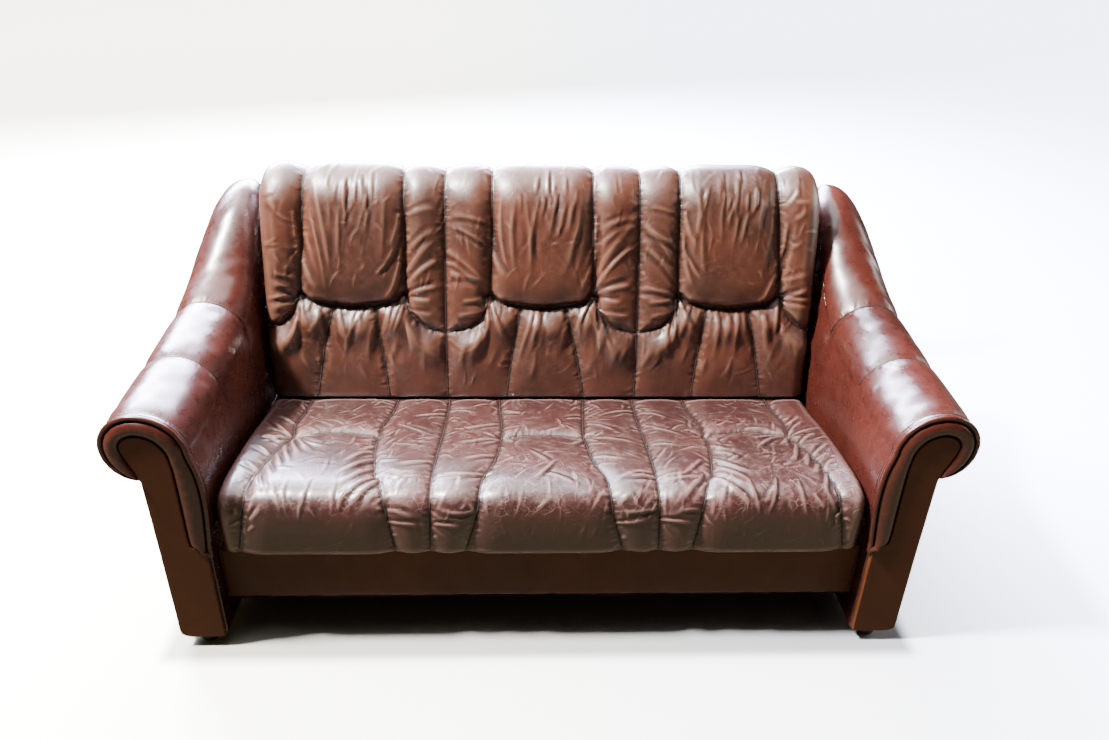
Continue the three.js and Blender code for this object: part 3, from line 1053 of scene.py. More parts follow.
@dataclass
class Upholstery:
    """A sheet of leather sewn and settled over padding, with what its seams need.

    Attributes:
        u: first coordinate of the sheet's rows.
        v: second coordinate of its columns.
        points: its settled surface.
        base: the padding's surface under it.
        field: its seams' fields.
    """

    u: Array
    v: Array
    points: Array
    base: Array
    field: SeamField

    def at(self, route: Array, lift: float) -> Array:
        """Points of the sheet along a route in its own coordinates.

        Args:
            route: the route.
            lift: how far above the leather.

        Returns:
            The points.
        """
        i = np.interp(route[:, 0], self.u, np.arange(len(self.u)))
        j = np.interp(route[:, 1], self.v, np.arange(len(self.v)))
        normal = bilinear(grid_normals(self.points), i, j)
        return bilinear(self.points, i, j) + normal * lift

    def fold(self, size: float) -> Array:
        """How sharply the sheet is folded at each point: below 0 on a ridge, above 0 in a valley.

        Args:
            size: the hollow that counts as 1, in metres.

        Returns:
            The folds, from -1 to 1.
        """
        even = blur(self.points, 10)
        normal = grid_normals(even)
        off = np.einsum("ijk,ijk->ij", even - self.points, normal)
        base = np.einsum("ijk,ijk->ij", blur(self.base, 10) - self.base, grid_normals(self.base))
        return np.clip((off - base) / size, -1.0, 1.0)

    def seam_mark(self) -> Array:
        """1 on a seam, fading to 0 beside it."""
        return np.exp(-((self.field.near / 0.003) ** 2))

    def marks(self, size: float, rub: Array) -> dict[str, Array]:
        """The numbers that the leather's finish reads.

        Args:
            size: the hollow that counts as a full fold, in metres.
            rub: how worn each point is.

        Returns:
            The marks.
        """
        return {
            "fold": self.fold(size), "seam": self.seam_mark(), "rub": rub, "near": self.field.near,
            "run": self.field.run,
        }


def stitched(
    name: str, sheet: Upholstery, seams: Sequence[Seam], out: SettingOut, wide: float = 0.0017
) -> bpy.types.Object:
    """The dark folded edge and thread that lie in the bottom of each seam, near black partly by their own
    colour and partly as painted shade of the groove.

    Args:
        name: the piece's name.
        sheet: the leather that the seams are in.
        seams: the sewn lines.
        out: where things are.
        wide: half the width of a line.

    Returns:
        The piece.
    """
    parts = []
    for seam in seams:
        count = max(6, int(lengths(seam.points)[-1] / 0.005))
        path = sheet.at(resample(seam.points, count), 0.0004)
        i = np.interp(resample(seam.points, count)[:, 0], sheet.u, np.arange(len(sheet.u)))
        j = np.interp(resample(seam.points, count)[:, 1], sheet.v, np.arange(len(sheet.v)))
        up = bilinear(grid_normals(sheet.base), i, j)
        parts.append(tube_mesh(path, up, wide, 0.0011, 5))
    points, faces = join_meshes(parts)
    return make_object(name, out.row(points), faces, bpy.data.materials[SEAM_THREAD.name])


# -------------------------------------------------------------------------------- folds


@dataclass
class Fold:
    """One fold of a sheet of leather, drawn as a ridge with a furrow on one side.

    Attributes:
        route: its points in the sheet's own two coordinates.
        height: how high it stands, or how deep it lies if below 0.
        width: half its width in the middle.
        start: the share of its length over which it comes up; small where it leaves a seam.
        end: the share over which it dies away.
        furrow: depth of the furrow beside it, as a share of its height.
        widen: how much wider it is at its end than at its start.
    """

    route: Array
    height: float
    width: float
    start: float = 0.12
    end: float = 0.6
    furrow: float = 0.6
    widen: float = 0.8


def loose_fold(
    rng: np.random.Generator, route: Array, tall: Sequence[float], wide: Sequence[float], *shape: float
) -> Fold:
    """A fold whose size is drawn by chance.

    Args:
        rng: the source of chance.
        route: its route.
        tall: the least and the greatest height.
        wide: the least and the greatest width.
        shape: the rest of the fold's numbers, in their order.

    Returns:
        The fold.
    """
    return Fold(route, rng.uniform(*tall), rng.uniform(*wide), *shape)


def fold_relief(u: Array, v: Array, folds: Sequence[Fold]) -> Array:
    """The height that all folds together give a sheet.

    Args:
        u: first coordinate of the sheet's rows.
        v: second coordinate of its columns.
        folds: the folds.

    Returns:
        Heights, rows by columns.
    """
    total = np.zeros((len(u), len(v)))
    for fold in folds:
        reach = 3.5 * fold.width * (1 + fold.widen)
        low, high = fold.route.min(axis=0) - reach, fold.route.max(axis=0) + reach
        i, j = np.searchsorted(u, (low[0], high[0])), np.searchsorted(v, (low[1], high[1]))
        if i[1] <= i[0] or j[1] <= j[0]:
            continue
        uu, vv = np.meshgrid(u[i[0] : i[1]], v[j[0] : j[1]], indexing="ij")
        best, share, side = np.full(uu.shape, 9.0), np.zeros(uu.shape), np.zeros(uu.shape)
        run = lengths(fold.route)
        for a, b, begin in zip(fold.route[:-1], fold.route[1:], run[:-1]):
            edge = b - a
            size = float(np.hypot(*edge)) + 1e-9
            t = np.clip(((uu - a[0]) * edge[0] + (vv - a[1]) * edge[1]) / size**2, 0.0, 1.0)
            du, dv = uu - a[0] - t * edge[0], vv - a[1] - t * edge[1]
            d = np.hypot(du, dv)
            closer = d < best
            best = np.where(closer, d, best)
            share = np.where(closer, (begin + t * size) / run[-1], share)
            side = np.where(closer, np.sign(edge[0] * dv - edge[1] * du), side)
        width = fold.width * (1 + fold.widen * (share - 0.5))
        ridge = np.exp(-((best / width) ** 2))
        furrow = fold.furrow * np.exp(-(((best * side - 1.7 * width) / width) ** 2))
        taper = smooth(share, -0.001, fold.start) * smooth(1 - share, -0.001, fold.end)
        total[i[0] : i[1], j[0] : j[1]] += fold.height * taper * (ridge - furrow)
    return total


def bowed(start: Sequence[float], end: Sequence[float], bow: float, samples: int = 9) -> Array:
    """A gently bowed line between two points.

    Args:
        start: where it starts.
        end: where it ends.
        bow: how far its middle lies to one side, as a share of its length.
        samples: how many points it has.

    Returns:
        Its points.
    """
    a, b = np.asarray(start, float), np.asarray(end, float)
    t = np.linspace(0.0, 1.0, samples)[:, None]
    square = np.array([a[1] - b[1], b[0] - a[0]])
    return a + (b - a) * t + square * (4 * bow * t * (1 - t))


def seam_puckers(
    seam: Seam, side: int, spacing: float, length: float, slant: float, height: float,
    rng: np.random.Generator,
) -> list[Fold]:
    """Short folds that run out from a seam on one side.

    Args:
        seam: the sewn line.
        side: 1 for its left side as it runs, -1 for its right side.
        spacing: the mean distance between them.
        length: their mean length.
        slant: how far they lean along the seam, in radians.
        height: their mean height.
        rng: the source of chance.

    Returns:
        The folds.
    """
    run = lengths(seam.points)
    made = []
    at = rng.uniform(0.3, 1.0) * spacing
    while at < run[-1] - 0.3 * spacing:
        here = np.array([np.interp(at, run, seam.points[:, k]) for k in (0, 1)])
        ahead = np.array([np.interp(at + 0.004, run, seam.points[:, k]) for k in (0, 1)]) - here
        angle = math.atan2(ahead[1], ahead[0]) + side * (math.pi / 2 - slant + rng.normal(0, 0.28))
        reach = length * rng.uniform(0.45, 1.6)
        end = here + reach * np.array([math.cos(angle), math.sin(angle)])
        tall = height * rng.uniform(0.4, 1.3)
        wide = rng.uniform(0.0032, 0.0055)
        made.append(Fold(bowed(here, end, rng.normal(0, 0.07)), tall, wide, 0.10, 0.75, 0.7, 0.9))
        at += spacing * rng.uniform(0.5, 1.6)
    return made


def star(
    centre: Sequence[float], angles: Sequence[float], length: float, height: float,
    rng: np.random.Generator,
) -> list[Fold]:
    """Folds that run out from a point where leather is pulled in.

    Args:
        centre: the point.
        angles: their directions in degrees.
        length: their mean length.
        height: their mean height.
        rng: the source of chance.

    Returns:
        The folds.
    """
    made = []
    for angle in angles:
        turn = math.radians(angle + rng.normal(0, 4))
        reach = length * rng.uniform(0.65, 1.35)
        away = np.array([math.cos(turn), math.sin(turn)])
        start = np.asarray(centre) + 0.004 * away
        tall = height * rng.uniform(0.7, 1.25)
        route = bowed(start, start + reach * away, rng.normal(0, 0.06))
        made.append(Fold(route, tall, rng.uniform(0.0042, 0.0062), 0.06, 0.7, 0.8, 1.1))
    return made


def crumple(
    low: Sequence[float], high: Sequence[float], count: int, height: float, rng: np.random.Generator,
    lean: float = 0.6,
) -> list[Fold]:
    """Faint creases in every direction over part of a sheet.

    Args:
        low: its lowest coordinates.
        high: its highest coordinates.
        count: how many creases there are.
        height: their mean height.
        rng: the source of chance.
        lean: the direction that most of them keep near to, in radians, on either hand.

    Returns:
        The folds.
    """
    made = []
    for _ in range(count):
        middle = rng.uniform(low, high)
        turn = float(rng.choice([-1, 1])) * lean + rng.normal(0, 0.45)
        half = 0.5 * rng.uniform(0.025, 0.10) * np.array([math.cos(turn), math.sin(turn)])
        tall = height * rng.uniform(0.4, 1.4)
        wide = rng.uniform(0.0026, 0.0042)
        made.append(
            Fold(bowed(middle - half, middle + half, rng.normal(0, 0.08)), tall, wide, 0.5, 0.5, 0.8, 0.0)
        )
    return made


# -------------------------------------------------------------------------------- cushions


@dataclass
class Cushion:
    """A cushion across the whole width of the sofa: a section carried along and drawn in at its ends.

    Attributes:
        out: where things are.
        half: half its width.
        rim: radius of its ends.
        step: spacing of the sheet's points.
        hidden: how many points the hidden part of the section has.
        seams: its sewn lines, once they are laid out.
    """

    out: SettingOut
    half: float = 0.743
    rim: float = 0.042
    step: float = 0.0042
    hidden: int = 26
    seams: list[Seam] = field(default_factory=list)

    def _spread(self, path: Array, shown_to: float) -> tuple[Array, Array]:
        """Spaces points round a section, closely where it shows.

        Args:
            path: the section.
            shown_to: distance run along it at which the hidden part starts.

        Returns:
            The distances run, and the points.
        """
        run = lengths(path)
        shown = np.arange(0.0, shown_to, self.step)
        v = np.concatenate([shown, np.linspace(shown_to, run[-1], self.hidden)])
        return v, np.stack([np.interp(v, run, path[:, k]) for k in (0, 1)], axis=1)

    def _rows(self) -> tuple[Array, Array, Array]:
        """Where the sheet's rows are across the cushion.

        Returns:
            The distance across the leather, the x of each row, and how far it is drawn in.
        """
        flat = self.half - self.rim
        quarter = self.rim * np.pi / 2
        side = quarter + np.array([0.012, 0.03, 0.05, 0.075, 0.1])
        reach = np.concatenate(
            [np.arange(0, flat, self.step), flat + np.linspace(0, quarter, 16), flat + side]
        )
        turn = np.clip((reach - flat) / self.rim, 0, np.pi / 2)
        x = np.where(reach < flat, reach, flat + self.rim * np.sin(turn))
        drawn = self.rim * (1 - np.cos(turn)) + np.maximum(0, reach - flat - quarter)
        mirror = slice(None, 0, -1)
        return (
            np.concatenate([-reach[mirror], reach]),
            np.concatenate([-x[mirror], x]),
            np.concatenate([drawn[mirror], drawn]),
        )

    def _section(self, x: Array, drawn: Array, ring: Array, middle: Array) -> Array:
        """The cushion's surface without its swelling.

        Args:
            x: the x of each row.
            drawn: how far each row is drawn in.
            ring: the section's points.
            middle: the middle point behind each.

        Returns:
            The surface, rows by columns by three.
        """
        inward = middle - ring
        room = np.linalg.norm(inward, axis=1)
        share = np.minimum(drawn[:, None] / room[None, :], 0.97)
        yz = ring[None] + inward[None] * share[..., None]
        return np.concatenate([np.broadcast_to(x[:, None, None], (*yz.shape[:2], 1)), yz], axis=2)

    def _add_seam(
        self, points: Sequence[tuple[float, float]], depth: float, gather: float, reach: float = 0.05
    ) -> None:
        """Adds a seam through points of the leather.

        Args:
            points: its route.
            depth: how far it is pulled down.
            gather: how strongly the leather beside it is gathered.
            reach: how far the gathers run.
        """
        self.seams.append(Seam(spline(points, 40), depth, gather, reach))

    def _pull(
        self, shape: Array, uu: Array, vv: Array, points: Sequence[Sequence[float]], depth: float,
        size: float,
    ) -> Array:
        """How far the points where seams meet are drawn in.

        Args:
            shape: the surface, for its size.
            uu: first coordinate of each point.
            vv: second coordinate of each point.
            points: where the seams meet.
            depth: how far they are drawn in.
            size: how wide the hollow is.

        Returns:
            The depth at each point.
        """
        total = np.zeros(shape.shape[:2])
        for x, y in points:
            total = np.maximum(total, depth * np.exp(-((uu - x) ** 2 + (vv - y) ** 2) / size**2))
        return total


@dataclass
class BackCushion(Cushion):
    """The one-piece back cushion: three head pillows over fluted lower panels, drawn in at tufts.

    Attributes:
        foot: height of its underside.
        lean: how far the front goes back for each metre up.
        foot_y: where the front plane meets the foot.
        tuft_z: height of the tufts.
        tufts: distance of the tufts from the middle.
        heads: distance of the same seams from the middle, at the top.
        centre: distance of the seams midway between the pillows.
        smile_z: lowest point of the seam under each pillow.
        pillow: how far the head pillows swell.
        panel: how far the lower panels swell.
        corner: radius of the top corners.
        smiles: the numbers of the seams under the pillows.
    """

    foot: float = 0.3785
    lean: float = 0.2126
    foot_y: float = 0.532
    tuft_z: float = 0.667
    tufts: tuple[float, ...] = (0.644, 0.368, 0.142)
    heads: tuple[float, ...] = (0.619, 0.360, 0.132)
    centre: float = 0.258
    smile_z: float = 0.633
    pillow: float = 0.027
    panel: float = 0.014
    corner: float = 0.105
    smiles: list[int] = field(default_factory=list)

    def _ring(self) -> tuple[Array, Array, Array]:
        """The cushion's section without its swelling.

        Returns:
            The distance run along the section, its points in y and z, and the middle point behind each.
        """
        top = self.out.height - 0.018
        front = [
            (self.foot_y + self.lean * (z - self.foot), z)
            for z in (0.41, 0.47, 0.56, self.tuft_z, 0.75, 0.84)
        ]
        head = [
            (0.652, top - 0.060), (0.676, top - 0.022), (0.712, top), (0.752, top - 0.008),
            (0.781, top - 0.040),
        ]
        rear = [(0.790, 0.905), (0.780, 0.84), (0.745, 0.64), (0.706, 0.42)]
        under = [
            (0.690, self.foot + 0.004), (0.62, self.foot), (0.550, self.foot), (0.539, self.foot + 0.003)
        ]
        path = spline([(0.5365, self.foot + 0.008), *front, *head, *rear, *under], 4000)
        run = lengths(path)
        v, ring = self._spread(path, run[np.argmax(path[:, 0])])
        middle_z = np.clip(ring[:, 1], self.foot + 0.03, top - 0.05)
        middle_y = 0.625 + (middle_z - self.foot) * 0.16
        return v, ring, np.stack([middle_y, middle_z], axis=1)

    @staticmethod
    def _up(v: Array, ring: Array) -> Callable[[float], float]:
        """A function that gives the distance run up the front at a height."""
        crest = int(np.argmax(ring[:, 1]))
        return lambda z: float(np.interp(z, ring[:crest, 1], v[:crest]))

    def _sew(self, v: Array, ring: Array) -> None:
        """Lays out the seams, in distance across and distance up the leather.

        Args:
            v: distance run along the section.
            ring: the section's points.
        """
        up = self._up(v, ring)
        over = v[int(np.argmax(ring[:, 1]))] + 0.10
        low, tuft = up(self.foot + 0.012), up(self.tuft_z)
        add = self._add_seam
        for sign in (-1, 1):
            for (foot_x, head_x) in zip(self.tufts, self.heads):
                mid = 0.5 * (foot_x + head_x) - 0.004
                route = [
                    (foot_x, tuft), (foot_x - 0.004, up(0.70)), (mid, up(0.82)), (head_x, up(0.95)),
                    (head_x, over),
                ]
                add([(sign * x, s) for x, s in route], 0.003, 0.8)
            top_x = self.centre - 0.006
            add(
                [(sign * self.centre, low - 0.03), (sign * self.centre, tuft), (sign * top_x, over)], 0.002,
                0.8,
            )
            inner, outer = self.tufts[2], self.tufts[1]
            dip = up(0.566)
            for edge, bulge in ((outer, 0.02), (inner, -0.02)):
                way = [
                    (edge, tuft), (edge - 0.6 * bulge, up(0.622)), (edge - 2.4 * bulge, up(0.583)),
                    (self.centre, dip),
                ]
                add([(sign * x, s) for x, s in way], 0.0015, 0.7)
            rim_x = self.half + 0.03
            way = [
                (self.tufts[0], tuft), (0.662, up(0.625)), (0.70, up(0.588)), (0.742, up(0.572)),
                (rim_x, up(0.566)),
            ]
            add([(sign * x, s) for x, s in way], 0.0015, 0.7)
            centre_x = 0.5 * (self.tufts[0] + self.tufts[1])
            smile = [
                (self.tufts[0], tuft),
                (self.tufts[0] - 0.034, up(0.646)),
                (centre_x, up(self.smile_z)),
                (self.tufts[1] + 0.034, up(0.646)),
                (self.tufts[1], tuft),
            ]
            self.smiles.append(len(self.seams))
            add([(sign * x, s) for x, s in smile][::sign], 0.008, 1.0, 0.07)
            for (x_top, z_top, x_low) in ((0.557, 0.637, 0.617), (0.447, 0.637, 0.414)):
                way = [(x_top, up(z_top)), (0.5 * (x_top + x_low), up(0.52)), (x_low, low - 0.03)]
                add([(sign * x, s) for x, s in way], 0.001, 0.8)
        t = self.tufts[2]
        middle = [
            (-t, tuft), (-t + 0.034, up(0.646)), (0.004, up(self.smile_z)), (t - 0.034, up(0.646)),
            (t, tuft),
        ]
        self.smiles.append(len(self.seams))
        add(middle[::-1], 0.008, 1.0, 0.07)
        for (x_top, x_low) in ((-0.056, -0.100), (0.062, 0.122)):
            add([(x_top, up(0.638)), (0.5 * (x_top + x_low), up(0.52)), (x_low, low - 0.03)], 0.001, 0.8)

    def _pillow_folds(
        self, left: float, right: float, up: Callable[[float], float], rng: np.random.Generator
    ) -> list[Fold]:
        """The folds that hang down a head pillow.

        Args:
            left: x of its left seam.
            right: x of its right seam.
            up: gives the distance up the leather at a height.
            rng: the source of chance.

        Returns:
            The folds.
        """
        mid, half = 0.5 * (left + right), 0.5 * (right - left)
        made = []
        for s in np.linspace(-0.72, 0.74, 12):
            top = mid + half * (s + rng.normal(0, 0.05))
            foot_z = rng.uniform(0.655, 0.70) if rng.random() < 0.25 else rng.uniform(0.77, 0.86)
            foot = mid - 0.012 + (top - mid) * rng.uniform(0.5, 0.95) + rng.normal(0, 0.010)
            route = bowed((top, up(rng.uniform(0.89, 0.965))), (foot, up(foot_z)), rng.normal(0, 0.05))
            tall, wide = rng.uniform(0.0010, 0.0026), rng.uniform(0.0045, 0.0095)
            made.append(Fold(route, tall, wide, 0.35, 0.55, 0.6, 0.7))
        for _ in range(10):
            top = mid + half * rng.uniform(-0.45, 0.65)
            z = rng.uniform(0.92, 0.975)
            route = bowed(
                (top, up(z)), (top + rng.normal(-0.004, 0.006), up(z - rng.uniform(0.04, 0.09))), 0.03
            )
            made.append(loose_fold(rng, route, (0.0012, 0.0026), (0.0035, 0.005), 0.3, 0.5, 0.8, 0.2))
        for sign, count in ((-1, 3), (1, 5)):
            edge = mid + sign * half
            for k in range(count):
                z = 0.875 - 0.038 * k + rng.normal(0, 0.006)
                end = (edge - sign * rng.uniform(0.035, 0.075), up(max(0.655, z - rng.uniform(0.09, 0.17))))
                route = bowed((edge - sign * 0.003, up(z)), end, sign * 0.07)
                made.append(loose_fold(rng, route, (0.0014, 0.0030), (0.005, 0.008), 0.05, 0.45, 0.9, 0.6))
        return made

    def _strip_folds(self, sign: int, up: Callable[[float], float], rng: np.random.Generator) -> list[Fold]:
        """The pleats of the narrow strips beside and outside the pillows.

        Args:
            sign: -1 on the left, 1 on the right.
            up: gives the distance up the leather at a height.
            rng: the source of chance.

        Returns:
            The folds.
        """
        made = []
        for edge, toward in ((self.tufts[1], -1), (self.tufts[2], 1)):
            for z, rise, tall in (
                (0.672, 0.022, 3.0), (0.684, 0.085, 2.6), (0.712, 0.11, 2.2), (0.79, 0.06, 1.8),
                (0.87, 0.02, 1.2),
            ):
                z += rng.normal(0, 0.012)
                reach = rng.uniform(0.80, 0.98) * abs(self.centre - edge)
                end = (sign * (edge + toward * reach), up(z + rise * rng.uniform(0.8, 1.3)))
                route = bowed((sign * (edge + toward * 0.004), up(z)), end, sign * toward * 0.06)
                start, stop = (0.06, 0.25) if rng.random() < 0.5 else (0.4, 0.06)
                made.append(
                    Fold(
                        route, 0.001 * tall * rng.uniform(0.6, 1.1), rng.uniform(0.005, 0.008), start, stop,
                        0.9, 0.5,
                    )
                )
            for z, drop in ((0.655, 0.0), (0.628, 0.012)):
                end = (sign * (edge + toward * rng.uniform(0.07, 0.10)), up(z - drop))
                route = bowed((sign * (edge + toward * 0.012), up(z + 0.006)), end, -sign * toward * 0.05)
                made.append(Fold(route, 0.0022, 0.006, 0.1, 0.3, 0.9, 0.5))
        edge = self.tufts[0]
        for z, drop, tall in (
            (0.667, -0.028, 2.6), (0.667, 0.010, 2.8), (0.655, 0.026, 2.2), (0.71, -0.02, 1.4)
        ):
            end = (sign * (edge + rng.uniform(0.07, 0.09)), up(z - drop))
            route = bowed((sign * (edge + 0.004), up(z)), end, sign * rng.normal(0.02, 0.05))
            made.append(Fold(route, 0.001 * tall, rng.uniform(0.005, 0.007), 0.05, 0.45, 0.9, 0.5))
        for z in np.arange(0.735, 0.935, 0.029):
            z = float(z + rng.normal(0, 0.010))
            x = float(rng.choice((0.632, 0.655, 0.68)))
            end = (sign * (x + rng.uniform(0.02, 0.065)), up(z + rng.normal(0.006, 0.018)))
            route = bowed((sign * x, up(z)), end, -sign * rng.uniform(-0.05, 0.16))
            made.append(loose_fold(rng, route, (0.0006, 0.0015), (0.004, 0.007), 0.3, 0.5, 0.5, 0.4))
        return made

    def _lower_folds(self, up: Callable[[float], float], rng: np.random.Generator) -> list[Fold]:
        """The soft folds that fall from the tufts and darts down the lower panels.

        Args:
            up: gives the distance up the leather at a height.
            rng: the source of chance.

        Returns:
            The folds.
        """
        made = []
        tuft = up(self.tuft_z)
        for sign in (-1, 1):
            for x, angles in (
                (self.tufts[0], (-100, -84)),
                (self.tufts[1], (-120, -104, -88, -72, -60)),
                (self.tufts[2], (-118, -102, -86, -70)),
            ):
                turned = angles if sign > 0 else tuple(-180 - a for a in angles)
                made += star((sign * x, tuft), turned, 0.140, 0.0022, rng)
        for sign in (-1, 1):
            for x, z, dx, drop in (
                (0.40, 0.645, 0.035, 0.15), (0.345, 0.600, -0.02, 0.13), (0.60, 0.640, -0.05, 0.17),
                (0.545, 0.625, -0.06, 0.15), (0.655, 0.60, 0.015, 0.12), (0.165, 0.60, 0.01, 0.13),
            ):
                z += rng.normal(0, 0.006)
                route = bowed((sign * x, up(z)), (sign * x - dx - 0.02, up(z - drop)), rng.normal(0, 0.03))
                made.append(loose_fold(rng, route, (0.0020, 0.0032), (0.008, 0.013), 0.1, 0.6, 0.7, 1.0))
        for middle in (-0.506, 0.003, 0.506):
            for _ in range(5):
                x = middle + rng.uniform(-0.085, 0.085)
                lean = rng.uniform(-0.06, 0.01)
                z = rng.uniform(0.615, 0.632)
                route = bowed((x, up(z)), (x + lean, up(z - rng.uniform(0.08, 0.18))), rng.normal(0, 0.04))
                made.append(loose_fold(rng, route, (0.0010, 0.0026), (0.006, 0.011), 0.08, 0.7, 0.7, 0.9))
        for x in np.arange(-0.70, 0.71, 0.047):
            x = float(x + rng.normal(0, 0.012))
            lean = rng.normal(0, 0.02)
            z = rng.uniform(0.50, 0.56)
            route = bowed((x, up(z)), (x + lean, up(z - rng.uniform(0.05, 0.10))), rng.normal(0, 0.05))
            made.append(loose_fold(rng, route, (0.0006, 0.0016), (0.006, 0.011), 0.5, 0.5, 0.6, 0.3))
        return made

    def _folds(self, v: Array, ring: Array, rng: np.random.Generator) -> list[Fold]:
        """All the folds that years of use have set in the cover.

        Args:
            v: distance run along the section.
            ring: the section's points.
            rng: the source of chance.

        Returns:
            The folds.
        """
        up = self._up(v, ring)
        made = []
        for left, right in (
            (-self.tufts[0], -self.tufts[1]), (-self.tufts[2], self.tufts[2]),
            (self.tufts[1], self.tufts[0]),
        ):
            made += self._pillow_folds(left, right, up, rng)
        for sign in (-1, 1):
            made += self._strip_folds(sign, up, rng)
        made += self._lower_folds(up, rng)
        for number, seam in enumerate(self.seams):
            if number in self.smiles:
                made += seam_puckers(seam, -1, 0.017, 0.024, 0.0, 0.0014, rng)
                made += seam_puckers(seam, 1, 0.024, 0.040, 0.0, 0.0018, rng)
                continue
            for side in (-1, 1):
                made += seam_puckers(seam, side, 0.015, 0.018, 0.25, 0.0010, rng)
        made += crumple((-0.72, up(0.70)), (0.72, up(0.98)), 190, 0.0009, rng, 1.2)
        made += crumple((-0.72, up(0.43)), (0.72, up(0.60)), 90, 0.0006, rng, 1.2)
        return made

    def _waist(self, v: Array, ring: Array, u: Array) -> Array:
        """Where the pillows end and the lower panels begin, along the seams that part them.

        Args:
            v: distance run along the section.
            ring: the section's points.
            u: distance across the leather.

        Returns:
            The distance up the leather of that line at each u.
        """
        up = self._up(v, ring)
        outer, side, inner = self.tufts
        mid = 0.5 * (outer + side)
        line = [(0.0, self.smile_z), (inner - 0.034, 0.646), (inner, self.tuft_z), (inner + 0.012, 0.622)]
        line += [(inner + 0.048, 0.583), (self.centre, 0.566), (side - 0.048, 0.583), (side - 0.012, 0.622)]
        line += [(side, self.tuft_z), (side + 0.034, 0.646), (mid, self.smile_z), (outer - 0.034, 0.646)]
        line += [(outer, self.tuft_z), (outer + 0.018, 0.625), (outer + 0.056, 0.588), (self.half, 0.572)]
        where = np.array(line)
        return np.interp(np.abs(u), where[:, 0], [up(z) for z in where[:, 1]])

    def _round_corners(self, base: Array, u: Array) -> Array:
        """Lowers the top towards the cushion's ends.

        Args:
            base: the surface.
            u: distance across the leather of each row.

        Returns:
            The surface with its top corners rounded.
        """
        over = np.clip(np.abs(u) - (self.half + self.rim * 0.57 - self.corner), 0, self.corner * 0.985)
        drop = np.minimum(self.corner - np.sqrt(self.corner**2 - over**2), 0.07)
        rounded = base.copy()
        rounded[..., 2] -= drop[:, None] * smooth(base[..., 2], 0.62, self.out.height)
        return rounded

    def build(self) -> Upholstery:
        """Sews and settles the cover.

        Returns:
            The cover as a sheet.
        """
        rng = Seed.BACK.chance()
        v, ring, middle = self._ring()
        u, x, drawn = self._rows()
        self._sew(v, ring)
        base = self._round_corners(self._section(x, drawn, ring, middle), u)
        uu, vv = np.meshgrid(u, v, indexing="ij")
        cloth = seam_field(uu, vv, self.seams, rng)
        crest = int(np.argmax(ring[:, 1]))
        front = np.ones_like(uu) * (np.arange(len(v)) <= crest)[None, :]
        rear = 1 - smooth(vv, v[crest] + 0.06, v[crest] + 0.14)
        side = 1 - smooth(np.abs(uu), self.half - self.rim - 0.01, self.half + 0.01)
        foot = 0.30 + 0.70 * smooth(vv, 0.0, 0.11)
        above = vv - self._waist(v, ring, u)[:, None]
        upper = smooth(above, -0.006, 0.03)
        strip = np.exp(-(((np.abs(uu) - self.centre) / 0.07) ** 4))
        swell = self.panel + (self.pillow - self.panel) * upper * (1 - 0.55 * strip)
        room = np.clip(cloth.room / 0.066, 0, 1)
        dome = (1 - (1 - room) ** 2) ** 0.85
        up = self._up(v, ring)
        tufts = [(sign * x, up(self.tuft_z)) for sign in (-1, 1) for x in self.tufts]
        pulled = self._pull(base, uu, vv, tufts, 0.009, 0.020)
        creases = fold_relief(u, v, self._folds(v, ring, rng))
        belly = 0.012 * np.exp(-(((above + 0.055) / 0.038) ** 2)) * smooth(cloth.room, -0.004, 0.045)
        crown = 1 - 0.45 * smooth(base[..., 2], 0.90, 0.985)
        lift = swell * dome * crown - cloth.depth - pulled + belly
        lift = lift * rear * side * foot
        normal = grid_normals(base)
        shape = base + normal * lift[..., None]
        hang = upper * front * (1 - 0.7 * strip) * np.exp(-(((above - 0.022) / 0.022) ** 2))
        shape[..., 2] -= 0.009 * hang * side
        shape += normal * (creases * rear * side)[..., None]
        seed = 0.0005 * cloth.pucker + 0.0005 * blur(rng.standard_normal(uu.shape), 2)
        seed *= rear * side
        drape = Drape(
            across=0.008 + 0.020 * np.exp(-cloth.near / 0.02),
            along=0.006 + 0.024 * np.exp(-cloth.near / 0.02),
            bend=0.030,
            foam=0.012,
            rounds=120,
            reach=0.006,
        )
        hold = np.maximum(np.exp(-((cloth.near / 0.0028) ** 2)), 1 - rear * side)
        points = settle(shape, seed, hold, drape)
        return Upholstery(u, v, points, base, cloth)

    def dress(self, finish: bpy.types.Material) -> list[bpy.types.Object]:
        """Makes the cushion's pieces.

        Args:
            finish: the leather.

        Returns:
            The cover and its stitched seams.
        """
        sheet = self.build()
        points, faces = close_slab(self.out.row(sheet.points))
        marks = sheet.marks(0.0016, self._rub(sheet))
        cover = make_object("back_cushion", points, faces, finish, marks)
        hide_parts("back_cover", "back_foam")
        thread = stitched("back_cushion_seams", sheet, self.seams, self.out)
        return [cover, thread]

    def _rub(self, sheet: Upholstery) -> Array:
        """Where the cushion has been leaned on: the heads and the swell of the lower panels.

        Args:
            sheet: its cover.

        Returns:
            How worn each point is.
        """
        z = sheet.points[..., 2]
        head = smooth(z, 0.88, 0.99)
        return np.clip(0.15 + 0.5 * head + 0.25 * sheet.field.room / 0.06 * smooth(z, 0.40, 0.5), 0, 1)


